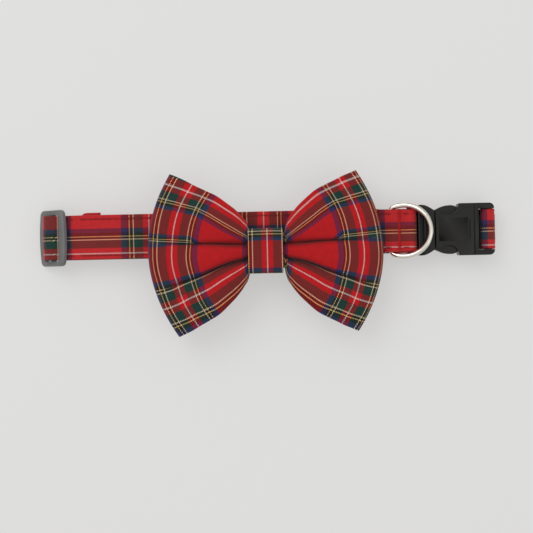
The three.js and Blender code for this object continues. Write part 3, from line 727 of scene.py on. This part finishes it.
def strap_webbing(strap, material):
    """The woven strap with rounded edges, drawn in and puckered along its two rows of stitches."""
    turn = np.sin(np.linspace(-math.pi / 2, math.pi / 2, STRAP_COLUMNS))
    side = np.concatenate([np.ones(STRAP_COLUMNS), -np.ones(STRAP_COLUMNS - 2)])
    shares = np.concatenate([turn, turn[-2:0:-1]])
    rows = []
    uv = []
    for arc, width, cloth in zip(strap.arc, strap.width, strap.cloth):
        half = width / 2
        across = shares * half
        edge = np.clip((half - np.abs(across)) / STRAP_EDGE, 0, 1)
        level = half_strap * np.sqrt(1 - (1 - edge) ** 2) - SEAM_DEPTH * seam_share(across, half)
        level -= PUCKER * seam_share(across, half + 1) * (1 + math.cos(TURN * arc / STITCH_PITCH)) / 2
        rows.append(strap.place(arc, across, side * level))
        row = np.column_stack([np.full(len(across), cloth), across - STRAP_WHITE_ACROSS])
        uv.append(np.vstack([row, row[:1]]))
    return grid("strap_webbing", np.array(rows), np.array(uv), False, True, material, capped=True)


def rod(start, end, lift, radius, sides=8):
    """A thread's stitch from start to end: a bent rod that dips at both ends, as rings of points."""
    start, end, lift = (np.asarray(p, float) for p in (start, end, lift))
    along = (end - start) / np.linalg.norm(end - start)
    sideways = np.cross(along, lift)
    rings = []
    for share in (0, 0.08, 0.3, 0.5, 0.7, 0.92, 1):
        swell = math.sqrt(max(0.0, 1 - (2 * share - 1) ** 6))
        centre = start + (end - start) * share + lift * radius * 0.5 * swell
        size = radius * max(0.12, swell)
        angles = np.arange(sides) * TURN / sides
        rings.append(centre + size * (np.outer(np.cos(angles), sideways) + np.outer(np.sin(angles), lift)))
    return np.array(rings)


def rods_piece(name, rods, material):
    """Joins many rods into one mesh."""
    points = []
    faces = []
    for rings in rods:
        count, sides = rings.shape[:2]
        first = len(points)
        points.extend(rings.reshape(-1, 3))
        for i in range(count - 1):
            for j in range(sides):
                k = (j + 1) % sides
                corner = first + i * sides
                faces.append((corner + j, corner + k, corner + sides + k, corner + sides + j))
        faces.append([first + j for j in reversed(range(sides))])
        faces.append([first + (count - 1) * sides + j for j in range(sides)])
    mesh = bpy.data.meshes.new(name)
    mesh.from_pydata((np.array(points) * MM).tolist(), [], faces)
    smooth(mesh)
    face_outwards(mesh)
    return new_piece(name, mesh, material)


def strap_stitches(strap, material):
    """Two rows of stitches along both faces of the strap, left out where it bends tightly."""
    rods = []
    for arc in np.arange(STITCH_PITCH, strap.length - STITCH_PITCH, STITCH_PITCH):
        ends = (arc - STITCH_LENGTH / 2, arc + STITCH_LENGTH / 2)
        half = np.interp(arc, strap.arc, strap.width) / 2
        for across in (SEAM_INSET - half, half - SEAM_INSET):
            for face in (-1, 1):
                level = face * half_strap
                start, end = (strap.place(at, across, level) for at in ends)
                middle = strap.place(arc, across, level)
                if np.linalg.norm((start + end) / 2 - middle) > STITCH_THREAD / 8:
                    continue
                lift = strap.place(arc, across, level + face) - middle
                rods.append(rod(start, end, lift, STITCH_THREAD / 2))
    return rods_piece("strap_stitches", rods, material)


def bar_tack(strap, material):
    """The dense row of stitches across the strap that closes the ring's pocket, on its upper face."""
    tack_x = (ring_bar_x + RING_WIRE / 2 + male_bar_x - MALE_BAR / 2) / 2 - TACK_SHIFT
    arc = strap.arc_on_top(tack_x)
    half = pocket_width / 2
    rods = []
    for across in np.arange(TACK_PITCH - half, half, TACK_PITCH):
        start = strap.place(arc - TACK_HALF_LENGTH, across, -half_strap)
        end = strap.place(arc + TACK_HALF_LENGTH, across + TACK_PITCH / 2, -half_strap)
        lift = strap.place(arc, across, -half_strap - 1) - strap.place(arc, across, -half_strap)
        rods.append(rod(start, end, lift, TACK_THREAD / 2))
    return rods_piece("bar_tack", rods, material)


# The bow
def lobe_lanes():
    """Lanes from a wing's lower edge to its upper edge, as (lobe, share of it), closest at the pleats."""
    shares = (1 - np.cos(np.linspace(0, math.pi, LOBE_STEPS + 1))) / 2
    return [(lobe, share) for lobe in range(3) for share in (shares if lobe == 0 else shares[1:])]


def wing_lane(lobe, share, along):
    """One lane's place between the edges, its columns, its front's height over its back, and its cloth."""
    column = {name: through(WING_ROWS, along, k) for k, name in enumerate(WING_COLUMNS) if k > 0}
    bounds = [-1 + 0 * along, column["lower"], column["upper"], 1 + 0 * along]
    t = bounds[lobe] + (bounds[lobe + 1] - bounds[lobe]) * share
    half = column["height"] * BOW_HEIGHT / 2
    near = (1 - along) ** 1.5
    sharp = 1 - abs(2 * share - 1) ** 3
    soft = math.sin(math.pi * share) ** 2
    rise = WING_CROWN * column["crown"] * (soft + (sharp - soft) * near)
    depth = pinch_depth + column["hollow"] * (2 * fold_radius - pinch_depth)
    crease = CREASE_SHARE * (depth - CLOTH_WALL) * (1 - along) ** CREASE_FADE
    width = CREASE_WIDTH * (1 + CREASE_SPREAD * (1 - along) ** 2)
    for pleat in (column["upper"], column["lower"]):
        apart = (t - pleat) * half
        rise = rise - crease * np.exp(-((apart / width) ** 2))
    rise = rise + GATHER_DEPTH * (1 - along) ** 2.5 * np.sin(GATHERS * math.pi * t + 3 * along)
    shown = LOBE_CLOTH[2 - lobe]
    blend = np.clip(along / shown["reach"], 0, 1) ** shown["curve"]
    from_top = (1 - share) ** np.interp(along, [0, 1], shown["bend"])
    knot = shown["knot"][0] + (shown["knot"][1] - shown["knot"][0]) * from_top
    outer = shown["outer"][0] + (shown["outer"][1] - shown["outer"][0]) * from_top
    return t, column, depth + rise, knot + (outer - knot) * blend, shown["left"] * along


def corner_shift(sign, along, height):
    """How far a wing's points move for its two outer corners and its upper edge to lie where they do."""
    upper, lower = np.array(CORNER_SHIFTS[sign])
    share = (1 + height)[:, None] / 2
    moved = (along**2)[:, None] * (upper * share + lower * (1 - share))
    moved[:, 1] -= WING_SAG[sign] * np.sin(math.pi * along) * np.clip(height, 0, 1)
    return moved


def bow_cloth(material):
    """The bow: one flattened loop of cloth, pinched in the middle, with a hollow wing to each side."""
    along = np.linspace(0, 1, ALONG_STEPS) ** 1.15
    knot_edge = KNOT_WIDTH / 2 + CLEARANCE
    fold_x = BOW_TIP_SPAN / 2 - fold_radius - BOW_WALL / 2
    strands = []
    cloths = []
    for lobe, share in lobe_lanes():
        t, column, apart, shown, drawn_up = wing_lane(lobe, share, along)
        bulge = (BOW_LENGTH - BOW_TIP_SPAN) / 2 * (1 - t * t)
        droop = TIP_DROOP * along**4 * t * t
        back_z = bow_back_z + pinch_lift * (1 - column["hollow"]) - droop
        x = knot_edge + (fold_x - knot_edge) * along + along * bulge
        y = KNOT_OFFSET * (1 - along) + t * column["height"] * BOW_HEIGHT / 2
        back = np.column_stack([x, y, back_z])
        front = np.column_stack([x, y, back_z + apart])
        turn = np.linspace(0, math.pi, FOLD_STEPS + 1)[1:-1]
        low, high = back[-1], front[-1]
        middle_z = (low[2] + high[2]) / 2
        fold = np.column_stack([
            low[0] + fold_radius * np.sin(turn),
            low[1] * (1 + FOLD_SPREAD * np.sin(turn)),
            middle_z - (high[2] - low[2]) / 2 * np.cos(turn),
        ])
        wing = np.vstack([back, fold, front[::-1]])

        def led(values):
            return np.concatenate([values, np.full(len(fold), values[-1]), values[::-1]])

        outwards, height = led(along), led(t)
        arc = np.append(0, np.cumsum(np.linalg.norm(np.diff(wing, axis=0), axis=1)))
        outermost = len(back) + len(fold) // 2
        place = CLOTH_GATHER * (arc - arc[outermost])
        drawn = (1 - outwards) ** 2 * np.sign(place)
        width = led(shown)
        mirror = (wing * (-1, 1, 1) + corner_shift(-1, outwards, height))[::-1]
        wing = wing + corner_shift(1, outwards, height)
        centres = [(back[0] * (0, 1, 1))[None], (front[0] * (0, 1, 1))[None]]
        strands.append(np.vstack([centres[0], wing, centres[1], mirror]))
        right = place + KNOT_DRAW[1][lobe] * drawn - FOLD_TO_WHITE[1]
        left = (place + KNOT_DRAW[-1][lobe] * drawn - FOLD_TO_WHITE[-1])[::-1]
        starts = [[right[0] - knot_edge], [right[-1] + knot_edge], [left[-1] - knot_edge]]
        u = np.concatenate([starts[0], right, starts[1], left, starts[2]])
        left_width = (width - led(drawn_up))[::-1]
        v = np.concatenate([[width[0]], width, [width[-1]], left_width, [width[0]]])
        cloths.append(np.column_stack([u, v]))
    points = np.array(strands).transpose(1, 0, 2)
    uv = np.array(cloths).transpose(1, 0, 2)
    piece = grid("bow_cloth", points, uv, True, False, material)
    thicken(piece, CLOTH_WALL, 0.3)
    length = float(np.median([np.linalg.norm(np.diff(s, axis=0), axis=1).sum() for s in strands]))
    return piece, length


def box_loop(half_y, half_z, rounding, centre_z):
    """A loop in YZ round a box with rounded corners."""
    loop = []
    for quarter, y, z in ((0, 1, 1), (1, -1, 1), (2, -1, -1), (3, 1, -1)):
        for k in range(LOOP_STEPS + 1):
            angle = TURN / 4 * (quarter + k / LOOP_STEPS)
            loop.append((
                y * (half_y - rounding) + rounding * math.cos(angle),
                centre_z + z * (half_z - rounding) + rounding * math.sin(angle),
            ))
    return divided(np.array([*loop, loop[0]]), LOOP_STEP)[:-1]


def band(name, loops, places, offset_y, wall, rounding, material, first_v=0, bunch=(1, 1)):
    """A closed band of cloth: a loop in YZ for each place along X. bunch is how much cloth lies on it."""
    rows = len(loops[0])
    points = np.zeros((rows, len(places), 3))
    uv = np.zeros((rows + 1, len(places), 2))
    for j, (loop, x) in enumerate(zip(loops, places)):
        points[:, j] = np.column_stack([np.full(rows, x), offset_y + loop[:, 0], loop[:, 1]])
        closed = np.vstack([loop, loop[:1]])
        arc = np.append(0, np.cumsum(np.linalg.norm(np.diff(closed, axis=0), axis=1)))
        uv[:, j] = np.column_stack([np.full(rows + 1, x * bunch[0]), first_v + arc * bunch[1]])
    piece = grid(name, points, uv, True, False, material)
    thicken(piece, wall, rounding)
    return piece, float(arc[-1])


def knot_cloth(material):
    """The knot: a band round the bow's pinched middle, crowned between its edges."""
    bottom = pinch_bottom - CLEARANCE - KNOT_WALL
    top = pinch_top + CLEARANCE + KNOT_WALL
    shares = np.sin(np.linspace(-math.pi / 2, math.pi / 2, KNOT_COLUMNS))
    half_z = (top - bottom - KNOT_WALL) / 2
    plain = box_loop((KNOT_HEIGHT - KNOT_WALL) / 2, half_z, KNOT_ROUNDING, (top + bottom) / 2)
    risen = np.clip((plain[:, 1] - bottom) / (top - bottom), 0, 1)
    loops = []
    for share in shares:
        crown = KNOT_CROWN * (1 - share * share)
        loops.append(plain + np.column_stack([0 * risen, crown * risen]))
    places = KNOT_SHIFT + shares * KNOT_WIDTH / 2
    to_red = TURN / 4 * KNOT_ROUNDING + (KNOT_HEIGHT - KNOT_WALL) / 2 - KNOT_ROUNDING + KNOT_RED_DROP
    start = sum(LENGTHWISE) - to_red * KNOT_BUNCH[1]
    return band("knot_cloth", loops, places, KNOT_OFFSET, KNOT_WALL, 0.35, material, start, KNOT_BUNCH)


def elastic_band(name, x, material):
    half_y = STRAP_WIDTH / 2 + CLEARANCE + ELASTIC_THICKNESS / 2
    half_z = half_strap + CLEARANCE + ELASTIC_THICKNESS / 2
    places = x + np.linspace(-ELASTIC_WIDTH / 2, ELASTIC_WIDTH / 2, ELASTIC_COLUMNS)
    loops = [box_loop(half_y, half_z, ELASTIC_THICKNESS, front_z)] * ELASTIC_COLUMNS
    return band(name, loops, places, STRAP_OFFSET, ELASTIC_THICKNESS, 0.2, material)[0]


# Hard pieces
def prism(outline, low, high, place=None):
    """A closed solid with that outline between two heights, placed by a matrix in millimetres."""
    work = bmesh.new()
    base = work.faces.new([work.verts.new((x, y, low)) for x, y in outline])
    raised = bmesh.ops.extrude_face_region(work, geom=[base])["geom"]
    moved = [item for item in raised if isinstance(item, bmesh.types.BMVert)]
    bmesh.ops.translate(work, verts=moved, vec=(0, 0, high - low))
    if place is not None:
        bmesh.ops.transform(work, matrix=place, verts=work.verts)
    bmesh.ops.scale(work, vec=(MM, MM, MM), verts=work.verts)
    bmesh.ops.recalc_face_normals(work, faces=work.faces)
    mesh = bpy.data.meshes.new("solid")
    work.to_mesh(mesh)
    work.free()
    return new_object("solid", mesh)


def block(x, half_width, z):
    """A block between two places along X and two heights, on the strap's middle line."""
    return prism(mirrored([(x[0], half_width), (x[1], half_width)]), z[0], z[1])


def on_top(left, length, half_width, depth):
    """A block that reaches as far above the female half's top as below it, to cut or to raise."""
    return block((left, left + length), half_width, (buckle_top - depth, buckle_top + depth))


def upright(x, y, z):
    """Stands a prism's outline up in XZ, with its length along Y."""
    return Matrix(((1, 0, 0, x), (0, 0, 1, y), (0, 1, 0, z), (0, 0, 0, 1)))


def cross_bar(x, z, diameter, width):
    """A round bar across the strap."""
    angles = np.arange(BAR_SIDES) * TURN / BAR_SIDES
    circle = [(diameter / 2 * math.cos(a), diameter / 2 * math.sin(a)) for a in angles]
    return prism(circle, -width / 2, width / 2, upright(x, STRAP_OFFSET, z))


def combine(piece, operation, *others):
    for other in others:
        join = piece.modifiers.new("join", "BOOLEAN")
        join.operation = operation
        join.solver = "EXACT"
        join.object = other
        apply_modifiers(piece)
        bpy.data.objects.remove(other)
    return piece


def rounded(piece, rounding, sharper_than=32):
    """Rounds the edges of a hard piece that are sharper than an angle in degrees."""
    smooth(piece.data)
    bevel(piece, rounding, 4, sharper_than).harden_normals = True
    apply_modifiers(piece)
    return piece


def finish_hard(piece, name, material):
    """Eases the cut edges of a hard piece, names it and gives it its material."""
    rounded(piece, CUT_ROUNDING, 50)
    piece.name = name
    piece.data.materials.clear()
    piece.data.materials.append(material)
    return piece


def mirrored(side):
    far = [(x, STRAP_OFFSET + half) for x, half in reversed(side)]
    return [(x, STRAP_OFFSET - half) for x, half in side] + far


def smooth_side(table, start, length, half):
    """A side's outline through its table of shares."""
    at = np.linspace(table[0, 0], table[-1, 0], SIDE_STEPS)
    return [(start + a * length, h * half) for a, h in zip(at, through(table, at))]


def slider_outline():
    """The slider seen square on: a rounded oblong whose two long sides bulge a little."""
    half_length = slider_pitch + SLIDER_END_BAR / 2
    half_width = SLIDER_WIDTH / 2
    straight = half_width - SLIDER_CORNER
    places = np.linspace(0, straight, 9)
    quarter = [(half_length + SLIDER_BULGE * (1 - (y / straight) ** 2), y) for y in places]
    for angle in np.linspace(0, math.pi / 2, 8)[1:]:
        quarter.append((
            half_length - SLIDER_CORNER * (1 - math.cos(angle)),
            straight + SLIDER_CORNER * math.sin(angle),
        ))
    half = quarter + [(-x, y) for x, y in reversed(quarter)]
    return half + [(x, -y) for x, y in reversed(half)][1:-1]


def slider_body(material):
    tilt = Matrix.Translation((centre_x, STRAP_OFFSET, centre_z)) @ Matrix.Rotation(-SLIDER_TILT, 4, "Y")
    half_bar = SLIDER_END_BAR / 2
    hole_half = slider_pitch - half_bar
    hole_width = SLIDER_WIDTH / 2 - SLIDER_RAIL
    corners = [(x * hole_half, y * hole_width) for x, y in SQUARE]
    body = prism(slider_outline(), -SLIDER_THICKNESS / 2, SLIDER_THICKNESS / 2, tilt)
    rounded(body, SLIDER_ROUNDING)
    combine(body, "DIFFERENCE", prism(corners, -SLIDER_END_BAR, SLIDER_END_BAR, tilt))
    combine(body, "UNION", cross_bar(centre_x, centre_z, SLIDER_CENTRE_BAR, SLIDER_WIDTH - SLIDER_RAIL))
    return finish_hard(body, "slider_body", material)


def female_half(material):
    half = BUCKLE_WIDTH / 2
    side = smooth_side(FEMALE_SIDE, female_left, FEMALE_LENGTH, half)
    for angle in np.linspace(0, math.pi / 2, 8):
        side.append((
            female_right - CORNER_ROUNDING * (1 - math.sin(angle)),
            half - CORNER_ROUNDING * (1 - math.cos(angle)),
        ))
    body = rounded(prism(mirrored(side), buckle_bottom, buckle_top), BUCKLE_ROUNDING)
    cavity_end = window_left - 2 * FEMALE_WALL
    window_half = (FEMALE_STRAP_WIDTH + CLEARANCE) / 2
    panel_left = female_left + FEMALE_WALL
    groove_x = window_left - 1.5 * FEMALE_WALL
    combine(
        body,
        "DIFFERENCE",
        block(
            (female_left - FEMALE_WALL, cavity_end),
            half - FEMALE_WALL,
            (buckle_bottom + FEMALE_WALL, buckle_top - FEMALE_WALL),
        ),
        block(
            (window_left, female_right + FEMALE_WALL),
            window_half,
            (buckle_bottom - FEMALE_WALL, buckle_top + FEMALE_WALL),
        ),
        on_top(panel_left, PANEL_LENGTH, PANEL_WIDTH / 2, PANEL_DEPTH),
        on_top(groove_x, GROOVE_WIDTH, BUCKLE_WIDTH, GROOVE_DEPTH),
    )
    rib = on_top(panel_left + PANEL_LENGTH + 2 * RIB_WIDTH, RIB_WIDTH, RIB_LENGTH / 2, RIB_RISE)
    combine(body, "UNION", cross_bar(end_bar_x, buckle_z, END_BAR, half + window_half), rib)
    return finish_hard(body, "female_half", material)


def male_half(material):
    half = BUCKLE_WIDTH / 2
    start = male_bar_x - MALE_BAR / 2
    length = male_right - start
    bottom = buckle_z - MALE_THICKNESS / 2
    top = buckle_z + MALE_THICKNESS / 2
    rail = MALE_RAIL_THICKNESS / 2
    wedge_x = male_base_left + MALE_BAR
    wedge = [
        (start - rail, buckle_z - rail),
        (wedge_x, bottom),
        (male_right + rail, bottom),
        (male_right + rail, top),
        (wedge_x, top),
        (start - rail, buckle_z + rail),
    ]
    body = prism(mirrored(smooth_side(MALE_SHOULDER, start, length, half)), bottom, top)
    combine(body, "INTERSECT", prism(wedge, -BUCKLE_WIDTH, BUCKLE_WIDTH, upright(0, STRAP_OFFSET, 0)))
    rounded(body, BUCKLE_ROUNDING / 2)
    window_half = pocket_width / 2 + CLEARANCE
    window = block((start - MALE_BAR, male_base_left), window_half, (bottom - MALE_BAR, top + MALE_BAR))
    slot_x = male_base_left + MALE_LIP
    slot_bottom = top - MALE_SLOT_DEPTH
    slot = block((slot_x, slot_x + MALE_SLOT), window_half, (slot_bottom, top + MALE_BAR))
    combine(body, "DIFFERENCE", window, slot)
    rib_x = slot_x + MALE_SLOT + RIB_WIDTH / 2
    rib = block((rib_x, rib_x + RIB_WIDTH), window_half, (slot_bottom, top + RIB_RISE))
    arm_bottom = buckle_bottom + FEMALE_WALL + CLEARANCE
    arm_top = 2 * buckle_z - arm_bottom
    arm_start = male_right - MALE_RAIL_THICKNESS
    outer = smooth_side(MALE_ARM, arm_start, MALE_ARM_LENGTH, half)
    inner = [(x, y - MALE_ARM_WIDTH) for x, y in reversed(outer)]
    arms = [
        prism([(x, STRAP_OFFSET + sign * y) for x, y in outer + inner], arm_bottom, arm_top)
        for sign in (1, -1)
    ]
    arm_end = arm_start + MALE_ARM_LENGTH
    tongue = block((arm_start, arm_end), MALE_TONGUE_WIDTH / 2, (arm_bottom, arm_top))
    bar = cross_bar(male_bar_x, buckle_z, MALE_BAR, half + window_half)
    combine(body, "UNION", bar, *[rounded(arm, BUCKLE_ROUNDING) for arm in arms], tongue, rib)
    return finish_hard(body, "male_half", material)


def ring_wire(material):
    """The D-ring's round wire: a straight bar, long soft corners and an oval bow."""
    half = (RING_INSIDE + RING_WIRE) / 2 + RING_SPREAD
    bar_half = half - RING_CORNER
    bow_reach = RING_STRAIGHT_SIDE + half - RING_SPREAD - RING_WIDEST
    straight = [(0, y) for y in np.linspace(-bar_half, bar_half, 24)]
    corner = [
        (RING_WIDEST * (1 - math.cos(a)), bar_half + RING_CORNER * math.sin(a))
        for a in np.arange(RING_STEP, TURN / 4, RING_STEP)
    ]
    oval = [
        (RING_WIDEST + bow_reach * math.sin(a), half * math.cos(a))
        for a in np.arange(0, TURN / 2 + RING_STEP / 2, RING_STEP)
    ]
    route = np.array(straight + corner + oval + [(x, -y) for x, y in reversed(corner)])
    route = route[np.linalg.norm(route - np.roll(route, 1, axis=0), axis=1) > SAME_POINT]
    tangent = np.roll(route, -1, axis=0) - np.roll(route, 1, axis=0)
    tangent /= np.linalg.norm(tangent, axis=1)[:, None]
    outward = np.column_stack([-tangent[:, 1], tangent[:, 0]])
    angles = np.arange(RING_SIDES) * TURN / RING_SIDES
    flat = route[:, None] + RING_WIRE / 2 * np.cos(angles)[None, :, None] * outward[:, None]
    height = np.broadcast_to(RING_WIRE / 2 * np.sin(angles), flat.shape[:2])
    cos_tilt, sin_tilt = math.cos(RING_REST_TILT), math.sin(RING_REST_TILT)
    x = ring_bar_x + flat[..., 0] * cos_tilt - height * sin_tilt
    z = ring_bar_z + flat[..., 0] * sin_tilt + height * cos_tilt
    points = np.stack([x, STRAP_OFFSET + flat[..., 1], z], axis=-1)
    uv = np.zeros((len(route) + 1, RING_SIDES + 1, 2))
    return grid("ring_wire", points, uv, True, True, material)


# Light, floor and camera
FIELD_WIDTH = 238.5
LENS = 85
SENSOR = 36
CAMERA_SHIFT = (-0.52, -5.63)
FOCUS_HEIGHT = 10
CAMERA_ROLL = math.radians(1.27)
HORIZON_LIGHT = 0.35
ZENITH_LIGHT = 0.85
FLOOR_SHADE = 0.34
FLOOR_GLOW = 0.42
FLOOR_HALF = 2500
FLOOR_DROP = 0.35
# Each light's name, place and size in metres, power in watts and tint
LIGHTS = (
    ("key", (-0.42, 0.5, 0.8), 0.7, 2.7, (1, 0.985, 0.96)),
    ("fill", (0.6, -0.3, 0.9), 0.8, 0.7, (0.96, 0.98, 1)),
)


def add_camera():
    data = bpy.data.cameras.new("camera")
    data.lens = LENS
    data.sensor_width = SENSOR
    camera = new_object("camera", data)
    height = FIELD_WIDTH * LENS / SENSOR + FOCUS_HEIGHT
    camera.location = Vector((*CAMERA_SHIFT, height)) * MM
    camera.rotation_euler = (0, 0, -CAMERA_ROLL)
    bpy.context.scene.camera = camera


def add_area_light(name, place, size, power, tint):
    data = bpy.data.lights.new(name, "AREA")
    data.shape = "DISK"
    data.size = size
    data.energy = power
    data.color = tint
    light = new_object(name, data)
    light.location = place
    light.rotation_euler = (-Vector(place)).to_track_quat("-Z", "Y").to_euler()


def add_sky():
    """An even pale sky that is lighter overhead."""
    world = bpy.data.worlds.new("studio")
    world.use_nodes = True
    background = world.node_tree.nodes["Background"]
    background.inputs["Color"].default_value = (1, 1, 0.99, 1)
    sky = world.node_tree
    way = sky.nodes.new("ShaderNodeTexCoord").outputs["Generated"]
    height = sum_node(sky, "MAXIMUM", parts_node(sky, way)[2], 0.0)
    light = sum_node(sky, "MULTIPLY_ADD", height, ZENITH_LIGHT - HORIZON_LIGHT, HORIZON_LIGHT)
    sky.links.new(light, background.inputs["Strength"])
    bpy.context.scene.world = world


def add_floor():
    """A pale floor that gives off some light of its own, so that the shadows on it stay soft."""
    corners = [(x * FLOOR_HALF * MM, y * FLOOR_HALF * MM, -FLOOR_DROP * MM) for x, y in SQUARE]
    mesh = bpy.data.meshes.new("floor")
    mesh.from_pydata(corners, [], [(0, 1, 2, 3)])
    material, tree, shader = new_material("floor", 0.9)
    cloudy = object_noise(tree, 4)
    greys = (FLOOR_SHADE * 0.98, FLOOR_SHADE)
    shades = [(grey, grey, grey * 0.99, 1) for grey in greys]
    tree.links.new(mix_node(tree, "MIX", cloudy, *shades), shader.inputs["Base Color"])
    shader.inputs["Emission Color"].default_value = (1, 1, 0.99, 1)
    shader.inputs["Emission Strength"].default_value = FLOOR_GLOW
    new_piece("floor", mesh, material)


def attach(piece, body, slot, *nodes):
    """Makes a piece move with a body and lets it stand for the nodes. The slot is not used."""
    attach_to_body(piece, body)
    if nodes:
        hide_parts(*nodes)
    return piece


add_camera()
add_sky()
for lamp in LIGHTS:
    add_area_light(*lamp)
add_floor()
bpy.context.scene.view_settings.view_transform = "Standard"

strap = Strap()
strap_tartan = tartan("strap_tartan", STRAP_PAINT, 0.15)
bow_tartan = tartan("bow_tartan", BOW_PAINT, 0.1)
seam_thread = thread_material("seam_thread", (132, 22, 28))
tack_thread = thread_material("tack_thread", (204, 28, 34))
webbing = attach(strap_webbing(strap, strap_tartan), "collar", "strap", "strap_front", "strap_back")
stitches = attach(strap_stitches(strap, seam_thread), "collar", "strap")
tack = attach(bar_tack(strap, tack_thread), "collar", "strap")

elastic = knitted()
for side, sign in (("left", -1), ("right", 1)):
    loop = elastic_band(f"elastic_{side}", sign * ELASTIC_SPACING / 2, elastic)
    attach(loop, "collar", "elastic", f"elastic_loop_{side}")
bow_piece, bow_loop = bow_cloth(bow_tartan)
attach(bow_piece, "collar", "bow", "bow")
knot_piece, knot_loop = knot_cloth(bow_tartan)
attach(knot_piece, "collar", "bow", "bow_knot")

grey_plastic = plastic("grey_plastic", (120, 119, 121), 0.3, 0.5, 0.01)
black_plastic = plastic("black_plastic", (24, 22, 20), 0.3, 0.36, 0.02)
attach(slider_body(grey_plastic), "collar", "slider", "slider")
attach(female_half(black_plastic), "collar", "buckle", "buckle_female")
attach(male_half(black_plastic), "collar", "buckle", "buckle_male")
attach(ring_wire(nickel()), "ring", "ring", "d_ring")
